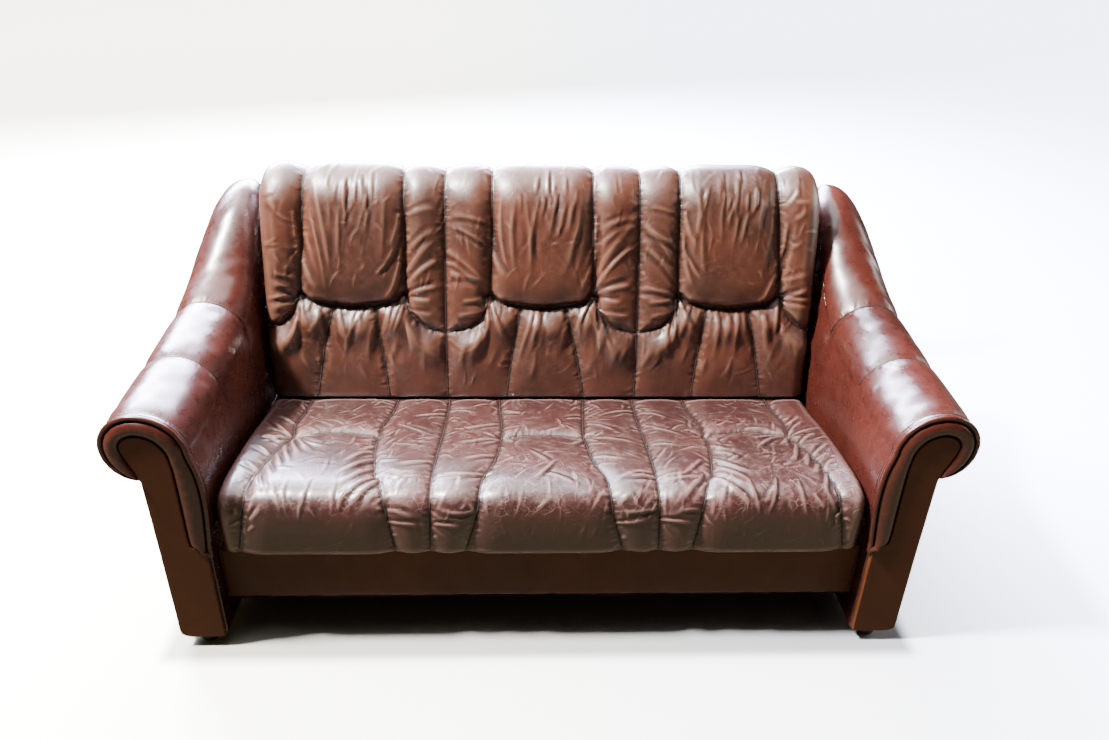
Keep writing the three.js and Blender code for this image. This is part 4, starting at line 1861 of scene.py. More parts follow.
@dataclass
class SeatCushion(Cushion):
    """The one-piece seat cushion, fluted from back to front, with a cross seam in each wide panel.

    Attributes:
        half: half its width.
        rim: radius of its ends.
        foot: height of its underside.
        panel: how far the panels swell.
        fold_y: where the cross seams are.
    """

    half: float = 0.741
    rim: float = 0.034
    foot: float = 0.271
    panel: float = 0.013
    fold_y: float = 0.290

    def _ring(self) -> tuple[Array, Array, Array]:
        """The cushion's section without its swelling.

        Returns:
            The distance run along the section, its points in y and z, and the middle point behind each.
        """
        front = [
            (0.050, 0.2795), (0.0235, 0.2795), (0.0185, 0.2845), (0.0165, 0.308), (0.0155, 0.350),
            (0.019, 0.390),
        ]
        crown = [
            (0.031, 0.416), (0.056, 0.4285), (0.10, 0.4315), (0.20, 0.4245), (0.32, 0.4075), (0.43, 0.386)
        ]
        rear = [(0.500, 0.3765), (0.530, 0.3745), (0.598, 0.3725), (0.607, 0.355), (0.603, 0.285)]
        under = [(0.590, self.foot + 0.001), (0.45, self.foot), (0.20, self.foot), (0.072, self.foot)]
        path = spline([*front, *crown, *rear, *under], 4000)
        run = lengths(path)
        v, ring = self._spread(path, float(run[np.argmax(path[:, 0] > 0.56)]))
        middle = np.stack([np.clip(ring[:, 0], 0.10, 0.53), np.full(len(v), 0.325)], axis=1)
        return v, ring, middle

    @staticmethod
    def _places(v: Array, ring: Array) -> dict[str, Callable[[float], float]]:
        """Ways to find the distance run along the leather.

        Args:
            v: distance run along the section.
            ring: the section's points.

        Returns:
            "up" gives it from a height on the front face, "back" from a distance behind the front boards.
        """
        crown, rear = int(np.argmax(ring[:, 1])), int(np.argmax(ring[:, 0]))
        return {
            "up": lambda z: float(np.interp(z, ring[6:crown, 1], v[6:crown])),
            "back": lambda y: float(np.interp(y, ring[crown:rear, 0], v[crown:rear])),
        }

    def _sew(self, v: Array, ring: Array) -> None:
        """Lays out the seams, in distance across and distance along the leather.

        Args:
            v: distance run along the section.
            ring: the section's points.
        """
        places = self._places(v, ring)
        up, back = places["up"], places["back"]
        low, end = up(0.288), back(0.57)
        edge = [
            (0.700, low), (0.695, up(0.310)), (0.677, up(0.400)), (0.668, back(0.075)), (0.645, back(0.217))
        ]
        edge += [(0.623, back(self.fold_y)), (0.636, back(0.37)), (0.630, back(0.48)), (0.629, end)]
        wide = [
            (0.345, low), (0.348, up(0.305)), (0.361, up(0.400)), (0.382, back(0.06)), (0.391, back(0.095))
        ]
        wide += [
            (0.407, back(0.207)), (0.411, back(0.285)), (0.410, back(0.365)), (0.397, back(0.47)),
            (0.393, end),
        ]
        mid = [
            (0.265, low), (0.263, up(0.33)), (0.260, up(0.405)), (0.260, back(0.08)), (0.257, back(0.19))
        ]
        mid += [(0.252, back(0.33)), (0.252, back(0.473)), (0.253, end)]
        inner = [
            (0.180, low), (0.176, up(0.305)), (0.158, up(0.37)), (0.151, up(0.41)), (0.143, back(0.06))
        ]
        inner += [
            (0.118, back(0.16)), (0.104, back(0.278)), (0.105, back(0.36)), (0.113, back(0.473)),
            (0.117, end),
        ]
        for sign in (-1, 1):
            for route, gather in ((edge, 1.0), (wide, 0.9), (mid, 0.7), (inner, 0.9)):
                self._add_seam([(sign * x, s) for x, s in route], 0.0015, gather, 0.045)
            cross = [
                (0.411, back(self.fold_y)), (0.45, back(0.307)), (0.517, back(0.320)), (0.585, back(0.309))
            ]
            cross.append((0.622, back(self.fold_y)))
            self._add_seam([(sign * x, s) for x, s in cross], 0.0025, 1.0, 0.05)
        cross = [
            (-0.106, back(0.283)), (-0.055, back(0.299)), (0.0, back(0.303)), (0.055, back(0.297)),
            (0.103, back(0.281)),
        ]
        self._add_seam(cross, 0.0025, 1.0, 0.05)

    def _panel_folds(self, sign: int, places: dict[str, Callable], rng: np.random.Generator) -> list[Fold]:
        """The folds of one half of the seat.

        Args:
            sign: -1 on the left, 1 on the right.
            places: ways to find a place on the leather, up the front face or back along the top.
            rng: the source of chance.

        Returns:
            The folds.
        """
        up, back = places["up"], places["back"]
        made: list[Fold] = []

        def draw(
            start: tuple, end: tuple, tall: float, wide: float, begin: float = 0.06, stop: float = 0.6
        ) -> None:
            """Adds one fold, given for the right-hand half.

            Args:
                start: where it starts.
                end: where it ends.
                tall: its height.
                wide: its width.
                begin: the share of its length over which it comes up.
                stop: the share over which it dies away.
            """
            shaken = [
                (sign * (x + rng.normal(0, 0.003)), s + rng.normal(0, 0.003)) for x, s in (start, end)
            ]
            tall *= rng.uniform(0.7, 1.2)
            made.append(Fold(bowed(*shaken, rng.normal(0, 0.05)), tall, wide, begin, stop, 0.9, 0.8))

        def turned(angles: Sequence[float]) -> list[float]:
            """Angles given for the right-hand half, turned for this one."""
            return list(angles) if sign > 0 else [180 - a for a in angles]

        edge_x, fold = 0.623, back(self.fold_y)
        made += star((sign * edge_x, fold), turned((-168, -148, -126, -108)), 0.105, 0.0036, rng)
        made += star((sign * edge_x, fold), turned((-32, -8, 20, 50)), 0.080, 0.0028, rng)
        made += star((sign * edge_x, fold), turned((165, 150)), 0.065, 0.0018, rng)
        made += star((sign * 0.411, fold), turned((28, 5, -20, -48, 150, 205)), 0.055, 0.0018, rng)
        made += star((sign * 0.104, back(0.279)), turned((205, 230, 150, -20, -45, 20)), 0.055, 0.0018, rng)
        for y, reach in (
            (0.235, 0.05), (0.205, 0.08), (0.175, 0.10), (0.135, 0.10), (0.095, 0.115), (0.055, 0.09)
        ):
            x = float(np.interp(y, (0.06, 0.207, 0.285), (0.382, 0.407, 0.411)))
            draw((x + 0.003, back(y)), (x + reach * 0.85, back(y) - reach * 0.82), 0.0036, 0.0068)
        for y, reach in ((0.245, 0.11), (0.20, 0.08), (0.15, 0.06), (0.10, 0.07)):
            x = float(np.interp(y, (0.075, 0.217, 0.29), (0.668, 0.645, 0.623)))
            draw((x - 0.003, back(y)), (x - reach * 0.42, back(y) - reach), 0.0036, 0.0060)
        for y, reach in ((0.37, 0.06), (0.25, 0.065), (0.19, 0.06), (0.12, 0.05)):
            x = float(np.interp(y, (0.075, 0.217, 0.29, 0.4), (0.668, 0.645, 0.623, 0.634)))
            draw((x + 0.003, back(y)), (x + reach, back(y) + reach * 0.7), 0.0028, 0.0058)
        for low_x, high_x, ys in (
            (0.262, 0.375, (0.44, 0.35, 0.235, 0.16, 0.10)), (0.115, 0.250, (0.46, 0.36, 0.27, 0.18, 0.11))
        ):
            for y in ys:
                a, b = (low_x, high_x) if rng.random() < 0.5 else (high_x, low_x)
                share = rng.uniform(0.55, 1.0)
                draw((a, back(y)), (a + (b - a) * share, back(y) - rng.uniform(0.02, 0.09)), 0.0022, 0.0055)
        for low_x, high_x in ((0.262, 0.360), (0.155, 0.258)):
            for s in (up(0.395), back(0.028), back(0.050), up(0.365)):
                a, b = (low_x, high_x) if rng.random() < 0.5 else (high_x, low_x)
                draw(
                    (a, s), (a + (b - a) * rng.uniform(0.6, 0.95), s + rng.normal(0, 0.010)), 0.0024, 0.0045
                )
        for x in (0.43, 0.47, 0.53, 0.58, 0.63):
            draw((x, back(0.075)), (x + rng.normal(0.0, 0.03), up(0.375)), 0.0014, 0.0045, 0.4, 0.5)
        for x, s in ((0.662, up(0.375)), (0.690, up(0.385)), (0.672, up(0.35)), (0.705, up(0.36))):
            draw(
                (x, s), (x + rng.uniform(-0.045, 0.045), s + rng.uniform(0.01, 0.05)), 0.0020, 0.0045, 0.3,
                0.5,
            )
        return made

    def _folds(self, v: Array, ring: Array, rng: np.random.Generator) -> list[Fold]:
        """All the folds and creases that years of sitting have set in the cover.

        Args:
            v: distance run along the section.
            ring: the section's points.
            rng: the source of chance.

        Returns:
            The folds.
        """
        places = self._places(v, ring)
        up, back = places["up"], places["back"]
        made = []
        for sign in (-1, 1):
            made += self._panel_folds(sign, places, rng)
        for x, y, reach, turn in (
            (-0.04, 0.20, 0.10, -0.9), (0.03, 0.16, 0.12, -2.2), (0.06, 0.38, 0.09, 0.5),
            (-0.05, 0.42, 0.08, 2.5), (0.0, 0.10, 0.10, -0.6),
        ):
            end = (x + reach * math.cos(turn), back(y) + reach * math.sin(turn))
            made.append(Fold(bowed((x, back(y)), end, 0.05), 0.0022, 0.006, 0.2, 0.6, 0.9, 0.8))
        for seam in self.seams:
            for side in (-1, 1):
                made += seam_puckers(seam, side, 0.014, 0.017, 0.25, 0.0010, rng)
        made += crumple((-0.70, back(0.04)), (0.70, back(0.52)), 330, 0.0010, rng, 0.7)
        made += crumple((-0.70, up(0.385)), (0.70, back(0.06)), 90, 0.0009, rng, 1.15)
        made += crumple((-0.70, up(0.31)), (0.70, up(0.39)), 50, 0.0003, rng, 1.2)
        return made

    def build(self) -> Upholstery:
        """Sews and settles the cover.

        Returns:
            The cover as a sheet.
        """
        rng = Seed.SEAT.chance()
        v, ring, middle = self._ring()
        u, x, drawn = self._rows()
        self._sew(v, ring)
        base = self._section(x, drawn, ring, middle)
        uu, vv = np.meshgrid(u, v, indexing="ij")
        cloth = seam_field(uu, vv, self.seams, rng)
        rear = 1 - smooth(vv, v[np.argmax(ring[:, 0] > 0.512)], v[np.argmax(ring[:, 0] > 0.538)])
        side = 1 - smooth(np.abs(uu), self.half - self.rim, self.half + 0.012)
        foot = smooth(vv, 0.019, 0.037)
        room = np.clip(cloth.room / 0.058, 0, 1)
        dome = (1 - (1 - room) ** 2) ** 0.85
        back = self._places(v, ring)["back"]
        meets = [(sign * x, back(self.fold_y)) for sign in (-1, 1) for x in (0.623, 0.411, 0.104)]
        pulled = self._pull(base, uu, vv, meets, 0.006, 0.016)
        creases = fold_relief(u, v, self._folds(v, ring, rng))
        lift = (self.panel * dome - cloth.depth - pulled + creases) * rear * side * foot
        shape = base + grid_normals(base) * lift[..., None]
        seed = 0.0005 * cloth.pucker + 0.0004 * blur(rng.standard_normal(uu.shape), 1)
        drape = Drape(
            across=0.006 + 0.018 * np.exp(-cloth.near / 0.018),
            along=0.006 + 0.020 * np.exp(-cloth.near / 0.018),
            bend=0.018,
            foam=0.014,
            rounds=110,
            reach=0.005,
        )
        hold = np.maximum(np.exp(-((cloth.near / 0.0026) ** 2)), 1 - rear * side * foot)
        points = settle(shape, seed * rear * side * foot, hold, drape)
        return Upholstery(u, v, points, base, cloth)

    def dress(self, finish: bpy.types.Material) -> list[bpy.types.Object]:
        """Makes the cushion's pieces.

        Args:
            finish: the leather.

        Returns:
            The cover and its stitched seams.
        """
        sheet = self.build()
        points, faces = close_slab(self.out.row(sheet.points))
        cover = make_object("seat_cushion", points, faces, finish, sheet.marks(0.0012, self._rub(sheet)))
        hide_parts("seat_cover", "seat_foam")
        thread = stitched("seat_cushion_seams", sheet, self.seams, self.out)
        return [cover, thread]

    def _rub(self, sheet: Upholstery) -> Array:
        """Where the seat has been sat on and slid over: the top, and most of all the front edge.

        Args:
            sheet: its cover.

        Returns:
            How worn each point is.
        """
        y, z = sheet.points[..., 1], sheet.points[..., 2]
        top = smooth(z, 0.375, 0.42)
        edge = np.exp(-((y - 0.05) / 0.06) ** 2)
        return np.clip(top * (0.55 + 0.45 * edge), 0, 1)


# -------------------------------------------------------------------------------- arms


def half_piece(side: Side, points: Array, faces: Sequence[Sequence[int]]) -> tuple[Array, list[list[int]]]:
    """A piece made for the right, or its mirror image for the left.

    Args:
        side: the wanted side.
        points: vertices of the right-hand piece.
        faces: its faces.

    Returns:
        The vertices and faces for that side.
    """
    if side is Side.RIGHT:
        return points, [list(f) for f in faces]
    return np.asarray(points) * np.array([-1.0, 1.0, 1.0]), [list(f)[::-1] for f in faces]


@dataclass
class ArmForm:
    """The shape of a right arm: a roll that runs back and sweeps up into a wing.

    Attributes:
        inner: x of the inner face.
        bulge: how far the inner face swells towards the seat.
        outer: x of the flat outer side.
        roll: x of the outermost point of the roll.
        roll_rear: the same at the back.
        crest_x: x of the crest at the front.
        wing_x: x of the crest at the back.
        neck: height of the roll's underside at the front.
        front: where the cover starts, behind the front boards.
        rear: where it ends.
    """

    inner: float = 0.763
    bulge: float = 0.015
    outer: float = 0.872
    roll: float = 0.945
    roll_rear: float = 0.930
    crest_x: float = 0.862
    wing_x: float = 0.803
    neck: float = 0.493
    front: float = 0.012
    rear: float = 0.850

    def crest(self, y: float) -> float:
        """The crest's height at a distance behind the front boards.

        Args:
            y: the distance.

        Returns:
            The height.
        """
        points = [(0, 0.652), (0.12, 0.656), (0.25, 0.667), (0.38, 0.681), (0.475, 0.699), (0.56, 0.742)]
        points += [(0.64, 0.812), (0.70, 0.864), (0.76, 0.898), (0.81, 0.907), (0.85, 0.906)]
        curve = spline(points, 400)
        return float(np.interp(y, curve[:, 0], curve[:, 1]))

    def section(self, y: float, foot: float) -> Array:
        """The outline at a distance behind the front boards.

        Args:
            y: the distance.
            foot: height of the lower end of the inner face.

        Returns:
            Its points in x and z, from the inner foot over the roll to the outer side.
        """
        t = float(smooth(y, 0.47, 0.78))
        top = self.crest(y)
        crest_x = self.crest_x + (self.wing_x - self.crest_x) * t
        outermost = self.roll + (self.roll_rear - self.roll) * t
        outer_z = 0.573 + 0.052 * y / 0.85 + 0.035 * t
        shoulder = 0.098 - 0.038 * t
        under = self.neck + 0.035 * y / 0.85
        a = np.linspace(0, np.pi / 2, 14)
        inside = np.stack(
            [crest_x - (crest_x - self.inner) * np.cos(a), top - shoulder + shoulder * np.sin(a)], axis=1
        )
        b = np.linspace(0, np.pi / 2, 16)[1:]
        outside = np.stack(
            [crest_x + (outermost - crest_x) * np.sin(b), outer_z + (top - outer_z) * np.cos(b)], axis=1
        )
        c = np.linspace(0, 1.45, 14)[1:]
        below = np.stack(
            [
                crest_x + 0.01 + (outermost - crest_x - 0.01) * np.cos(c),
                outer_z - (outer_z - under) * np.sin(c),
            ], axis=1
        )
        below = below[below[:, 0] > self.outer + 0.004]
        swell = [(self.inner, foot), (self.inner - 0.001, 0.28), (self.inner - 0.6 * self.bulge, 0.345)]
        swell += [(self.inner - self.bulge, 0.43), (self.inner - 0.8 * self.bulge, 0.50)]
        points = np.vstack([swell, inside, outside, below, [(self.outer + 0.001, under + 0.004)]])
        return spline(points, 900)


@dataclass
class Arm:
    """One arm: its cover, the padded border and welt of its front, its boards and its feet.

    Attributes:
        out: where things are.
        side: which arm it is.
        form: its shape.
        step: spacing of the cover's points.
        swell: how far the cover swells between its seams.
        seam_ys: where the two cross seams are on the crest.
        board: thickness of the front board.
        notch: height of the front board's wide foot.
        seams: its sewn lines, once they are laid out.
    """

    out: SettingOut
    side: Side
    form: ArmForm = field(default_factory=ArmForm)
    step: float = 0.0045
    swell: float = 0.004
    seam_ys: tuple[float, float] = (0.250, 0.475)
    board: float = 0.022
    notch: float = 0.302
    seams: list[Seam] = field(default_factory=list)

    def _name(self, piece: str) -> str:
        """The piece's name with this arm's side."""
        return f"{self.side.word}_{piece}"

    def _body(
        self, name: str, points: Array, faces: Sequence[Sequence[int]], finish: bpy.types.Material,
        marks: dict[str, Array] | None = None,
    ) -> bpy.types.Object:
        """Makes one piece of this arm, mirrored if need be.

        Args:
            name: its name without the side.
            points: vertices of the right-hand piece, in the maker's coordinates.
            faces: its faces.
            finish: what it is made of.
            marks: numbers at each vertex.

        Returns:
            The piece.
        """
        placed, turned = half_piece(self.side, self.out.row(np.asarray(points).reshape(-1, 3)), faces)
        return make_object(self._name(name), placed, turned, finish, marks)

    def _cover(self) -> tuple[Upholstery, Array]:
        """Sews and settles the cover.

        Returns:
            The cover as a sheet, and the closed rings of points that it is part of.
        """
        form, low = self.form, self.out.leg + 0.004
        rng = (Seed.RIGHT_ARM if self.side is Side.RIGHT else Seed.LEFT_ARM).chance()
        y = np.concatenate(
            [[form.rear] * 3, np.arange(form.rear - 0.002, form.front, -self.step), [form.front]]
        )
        drawn = np.zeros(len(y))
        drawn[:3] = (0.030, 0.020, 0.012)
        drawn[3:9] = (0.0085, 0.006, 0.004, 0.0022, 0.001, 0.0003)
        columns = 236
        t = np.linspace(0, 1, columns)
        outlines = [form.section(float(at), low) for at in y]
        size = np.array([lengths(o)[-1] for o in outlines])
        xz = np.stack([resample(o, columns) for o in outlines])
        middle = np.array([0.5 * (form.inner + form.outer) + 0.01, 0.0])
        inward = middle[None, None] - xz
        inward[..., 1] = np.clip(0.56 - xz[..., 1], -1, 1) * smooth(xz[..., 1], 0.40, 0.56)
        inward /= np.maximum(np.linalg.norm(inward, axis=2, keepdims=True), 1e-9)
        xz = xz + inward * drawn[:, None, None]
        base = np.stack([xz[..., 0], np.broadcast_to(y[:, None], xz.shape[:2]), xz[..., 1]], axis=-1)
        yy = np.broadcast_to(y[:, None], xz.shape[:2]).copy()
        yy[:3] += np.array([0.05, 0.03, 0.015])[:, None]
        run = t[None, :] * size[:, None]
        inner_ends = (0.585, 0.60) if self.side is Side.RIGHT else (0.53, 0.595)
        self.seams = []
        routes = []
        for (seam_y, end_z) in zip(self.seam_ys, inner_ends):
            row = int(np.argmin(np.abs(y - seam_y)))
            total = size[row]
            start = end_z - low
            crest = float(run[row, np.argmax(base[row, :, 2])])
            slant = 0.022 if seam_y > 0.4 else 0.012
            way = [(seam_y + slant, start), (seam_y + 0.3 * slant, 0.5 * (start + crest)), (seam_y, crest)]
            way += [(seam_y - 0.004, 0.5 * (crest + total)), (seam_y - 0.002, total)]
            routes.append((spline(way, 60), total))
            self.seams.append(Seam(spline(way, 60), 0.0035, 1.0, 0.035))
        edge = np.stack([np.full(60, 0.024), np.linspace(self.notch - low, float(size[-1]), 60)], axis=1)
        self.seams.append(Seam(edge, 0.0012, 0.5, 0.02))
        cloth = seam_field(yy, run, self.seams, rng)
        front = smooth(yy, form.front, form.front + 0.03)
        rear = 1 - smooth(yy, form.rear - 0.05, form.rear)
        up = smooth(base[..., 2], 0.42, 0.50)
        side = 1 - smooth(t[None, :], 0.965, 0.995)
        fade = rear * side
        lift = self.swell * (1 - np.exp(-cloth.near / 0.02)) * up
        lift = (lift - cloth.depth * smooth(base[..., 2], 0.50, 0.60)) * fade
        uneven = 0.0014 * ripple(yy + 0.5 * run, (0.07, 0.12), rng)
        lift += uneven * ripple(run - 0.4 * yy, (0.09, 0.15), rng) * fade * up
        lift += (self._creases(y[::-1], run[len(y) // 2], rng)[::-1]) * fade * up * front
        shape = base + grid_normals(base) * lift[..., None]
        seed = 0.0008 * cloth.pucker + 0.0002 * blur(rng.standard_normal(yy.shape), 2)
        drape = Drape(
            across=0.001 + 0.010 * np.exp(-cloth.near / 0.03),
            along=0.001 + 0.022 * np.exp(-cloth.near / 0.02),
            bend=0.05,
            foam=0.008,
            rounds=120,
            reach=0.006,
        )
        hold = np.maximum(
            np.exp(-((cloth.near / 0.0025) ** 2)) * up, 1 - fade * front * smooth(run, 0.0, 0.05)
        )
        points = settle(shape, seed * fade * front * up, hold, drape)
        sheet = Upholstery(
            y[::-1].copy(), t, points[::-1], base[::-1],
            SeamField(*(f[::-1] for f in (cloth.near, cloth.run, cloth.room, cloth.pucker, cloth.depth))),
        )
        under = points[:, -1, 2]
        back = np.stack(
            [
                np.stack([np.full(len(y), x), points[:, -1, 1], z], axis=1)
                for x, z in (
                    (form.outer - 0.008, under + 0.012),
                    (form.inner + 0.03, under + 0.012),
                    (form.inner + 0.011, under - 0.03),
                    (form.inner + 0.011, np.full(len(y), low + 0.15)),
                    (form.inner + 0.011, np.full(len(y), low)),
                )
            ],
            axis=1,
        )
        for row, edge in enumerate((0.016, 0.008, 0.003, 0.0008)):
            side_x, foot_x = form.outer - edge, form.inner + float(drawn[row]) + 0.011
            closed = [(side_x, under[row] - 0.012), (side_x, low + 0.15), (side_x, low + 0.008)]
            closed += [(side_x - 0.008, low), (foot_x, low)]
            back[row, :, 0] = [x for x, _ in closed]
            back[row, :, 2] = [z for _, z in closed]
        self._routes = routes
        return sheet, np.concatenate([points, back], axis=1)

    def _creases(self, y: Array, run: Array, rng: np.random.Generator) -> Array:
        """The folds that elbows and hands have set in the cover.

        Args:
            y: distance behind the front boards of each row, growing.
            run: distance round a middle row's section of each column.
            rng: the source of chance.

        Returns:
            Heights, rows by columns.
        """
        made: list[Fold] = []
        top = 0.60
        for seam_y, slant in zip(self.seam_ys, (0.012, 0.022)):
            seam = Seam(
                np.array(
                    [(seam_y + slant, 0.49), (seam_y + 0.3 * slant, 0.56), (seam_y, 0.64), (seam_y, 0.80)]
                )
            )
            for side in (-1, 1):
                made += seam_puckers(seam, side, 0.026, 0.028, 0.1, 0.0007, rng)
        for _ in range(16):
            place = (rng.uniform(0.05, 0.23), rng.uniform(0.46, top))
            turn = rng.normal(1.1, 0.35) * float(rng.choice([-1, 1]))
            reach = rng.uniform(0.02, 0.06)
            end = (place[0] + reach * math.cos(turn), place[1] + reach * math.sin(turn))
            tall, wide = rng.uniform(0.0006, 0.0015), rng.uniform(0.006, 0.010)
            made.append(Fold(bowed(place, end, rng.normal(0, 0.1)), tall, wide, 0.4, 0.5, 0.7, 0.3))
        for _ in range(8):
            place = (rng.uniform(0.28, 0.45), rng.uniform(0.50, 0.62))
            end = (place[0] + rng.uniform(0.01, 0.05), place[1] + rng.uniform(-0.04, 0.04))
            tall, wide = rng.uniform(0.0006, 0.0014), rng.uniform(0.005, 0.008)
            made.append(Fold(bowed(place, end, 0.05), tall, wide, 0.4, 0.5, 0.7, 0.3))
        return fold_relief(y, run, made)

    def _hook(self, samples: int) -> Array:
        """The front board's outline from its notch up, over its head and down to its neck.

        Args:
            samples: how many points it has.

        Returns:
            The outline in x and z.
        """
        points = [
            (0.783, 0.302), (0.797, 0.307), (0.8025, 0.322), (0.803, 0.40), (0.803, 0.48), (0.804, 0.528)
        ]
        points += [
            (0.811, 0.567), (0.831, 0.594), (0.860, 0.606), (0.886, 0.601), (0.902, 0.582), (0.897, 0.553)
        ]
        points += [(0.882, 0.515), (0.8745, 0.486)]
        return spline(points, samples)

    def _front_board(self, finish: bpy.types.Material) -> bpy.types.Object:
        """The leather-covered board on the front of the arm.

        Args:
            finish: its leather.

        Returns:
            The board.
        """
        leg, form = self.out.leg, self.form
        foot = [(form.outer + 0.0005, 0.30), (form.outer, 0.12), (form.outer - 0.0005, leg + 0.022)]
        foot += [(form.outer - 0.007, leg + 0.006), (form.outer - 0.022, leg)]
        base = [
            (0.79, leg), (0.7695, leg + 0.001), (0.7665, leg + 0.004), (0.766, leg + 0.02), (0.766, 0.16)
        ]
        base += [(0.766, 0.285), (0.767, 0.2985), (0.771, 0.3015)]
        outline = np.vstack([self._hook(150), spline(foot, 110)[1:], spline(base, 90), self._hook(150)[:1]])
        outline = resample(outline, 420)[:-1]
        return self._plate(
            "front_board_cover", outline, -0.0005, self.board, 0.0028, finish, ("front_board",)
        )

    def _plate(
        self,
        name: str,
        outline: Array,
        front: float,
        back: float,
        edge: float,
        finish: bpy.types.Material,
        nodes: Sequence[str],
    ) -> bpy.types.Object:
        """A leather-covered board that faces the front, with soft edges and a flat face.

        Args:
            name: its name without the side.
            outline: its outline in x and z, closed, without its first point again.
            front: y of its face.
            back: y of its rear.
            edge: radius of its front edge.
            finish: the leather.
            nodes: the frame parts it stands for, without the side.

        Returns:
            The piece.
        """
        along = np.roll(outline, -1, axis=0) - np.roll(outline, 1, axis=0)
        along /= np.linalg.norm(along, axis=1, keepdims=True)
        inward = np.stack([-along[:, 1], along[:, 0]], axis=1)
        area = np.sum(
            outline[:, 0] * np.roll(outline[:, 1], -1) - np.roll(outline[:, 0], -1) * outline[:, 1]
        )
        if area < 0:
            inward = -inward
        rings = [(0.0, back), (0.0, 0.5 * (front + back))]
        rings += [
            (edge * (1 - math.cos(a)), front + edge * (1 - math.sin(a)))
            for a in np.linspace(0, math.pi / 2, 7)
        ]
        rings.append((edge + 0.0006, front))
        stack = []
        for inset, y in rings:
            p = outline + inward * inset
            stack.append(np.stack([p[:, 0], np.full(len(p), y), p[:, 1]], axis=1))
        rows = np.array(stack)
        count = rows.shape[1]
        faces = grid_faces(len(rows), count, wrap=True, flip=area > 0).tolist()
        first, last = list(range(count)), list(range((len(rows) - 1) * count, len(rows) * count))
        faces.append(first[::-1] if area > 0 else first)
        faces.append(last if area > 0 else last[::-1])
        edge_mark = np.zeros(rows.shape[:2])
        edge_mark[4:8] = 0.7
        marks = {"rub": edge_mark, "near": np.ones(rows.shape[:2])}
        made = self._body(name, rows, faces, finish, marks)
        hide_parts(*(self._name(n) for n in nodes))
        return made

    def _outer_edge(self, inset: float, samples: int) -> Array:
        """The outline of the arm's front from beside the notch, over the roll and under it to the neck.

        Args:
            inset: how far inside the cover's own outline.
            samples: how many points.

        Returns:
            The outline in x and z.
        """
        outline = self.form.section(self.form.front, self.notch + 0.004)
        along = np.gradient(outline, axis=0)
        along /= np.linalg.norm(along, axis=1, keepdims=True)
        inside = np.stack([along[:, 1], -along[:, 0]], axis=1)
        return resample(outline + inside * inset, samples)

    def _border(self, finish: bpy.types.Material) -> bpy.types.Object:
        """The padded roll of leather between the front board and the welt.

        Args:
            finish: its leather.

        Returns:
            The roll.
        """
        rng = Seed.BORDER.chance()
        count = 240
        inner = self._hook(count)
        outer = self._outer_edge(0.0075, count)
        inner = self._matched(inner, outer)
        run = lengths(0.5 * (inner + outer))
        puckers = 0.0004 * ripple(run, (0.03, 0.05, 0.11), rng)
        turn = np.linspace(0, np.pi, 13)
        across = 0.5 * (1 - np.cos(turn))
        rise = np.sin(turn) ** 0.75
        ends = np.sqrt(np.clip(np.minimum(run, run[-1] - run) / 0.012, 0.02, 1))
        rings = []
        for k in range(count):
            near, far = outer[k] + (inner[k] - outer[k]) * 0.02, inner[k] + (outer[k] - inner[k]) * 0.03
            line = near[None] + (far - near)[None] * across[:, None]
            y = 0.012 - (0.0165 + puckers[k]) * rise * ends[k] - 0.002 * across
            back = np.stack([line[[-1, 0], 0], [0.024, 0.024], line[[-1, 0], 1]], axis=1)
            rings.append(np.vstack([np.stack([line[:, 0], y, line[:, 1]], axis=1), back]))
        rows = np.array(rings)
        rows = rows[::-1]
        points, faces = close_slab(rows)
        puckers = puckers[::-1]
        fold = np.zeros(rows.shape[:2])
        fold[:, :13] = (puckers / 0.0018)[:, None] * rise[None, :]
        seam = np.zeros(rows.shape[:2])
        # Darker along both edges of the roll: partly dirt in the seams, partly painted shade in the grooves
        # beside it.
        seam[:, (0, 12)] = 0.9
        rub = np.zeros(rows.shape[:2])
        rub[:, 4:9] = 0.5
        marks = {"fold": fold, "rub": rub, "seam": seam, "near": np.ones(rows.shape[:2])}
        made = self._body("arm_border_roll", points, faces, finish, marks)
        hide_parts(self._name("arm_border"))
        return made

    def _matched(self, inner: Array, outer: Array) -> Array:
        """Points of the board's hook that lie square across from those of the outer edge.

        Args:
            inner: the hook.
            outer: the outer edge.

        Returns:
            One point of the hook for each of the outer edge, in order.
        """
        gap = np.linalg.norm(outer[:, None] - inner[None], axis=2)
        share_in = np.linspace(0, 1, len(inner))
        share_out = np.linspace(0, 1, len(outer))
        gap = gap + 0.12 * np.abs(share_out[:, None] - share_in[None])
        nearest = np.maximum.accumulate(np.argmin(gap, axis=1)).astype(float)
        nearest[0], nearest[-1] = 0, len(inner) - 1
        kernel = np.hanning(31) / np.hanning(31).sum()
        even = np.convolve(np.pad(nearest, 15, mode="edge"), kernel, mode="valid")
        even[0], even[-1] = 0, len(inner) - 1
        return np.stack([np.interp(even, np.arange(len(inner)), inner[:, k]) for k in (0, 1)], axis=1)

    def _welt(self, finish: bpy.types.Material) -> bpy.types.Object:
        """The piping round the front of the arm.

        Args:
            finish: its leather.

        Returns:
            The piping.
        """
        rng = Seed.WELT.chance()
        outline = self._outer_edge(0.0022, 300)
        run = lengths(outline)
        wave = 0.00025 * ripple(run, (0.017, 0.029), rng)
        path = np.stack([outline[:, 0], 0.0062 + wave, outline[:, 1]], axis=1)
        points, faces = tube_mesh(path, np.array([0.0, -1.0, 0.0]), 0.0056, 0.0058, 14)
        count = len(points)
        marks = {"rub": np.full(count, 0.4), "near": np.ones(count)}
        made = self._body("arm_welt", points, faces, finish, marks)
        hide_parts(self._name("arm_piping"))
        return made

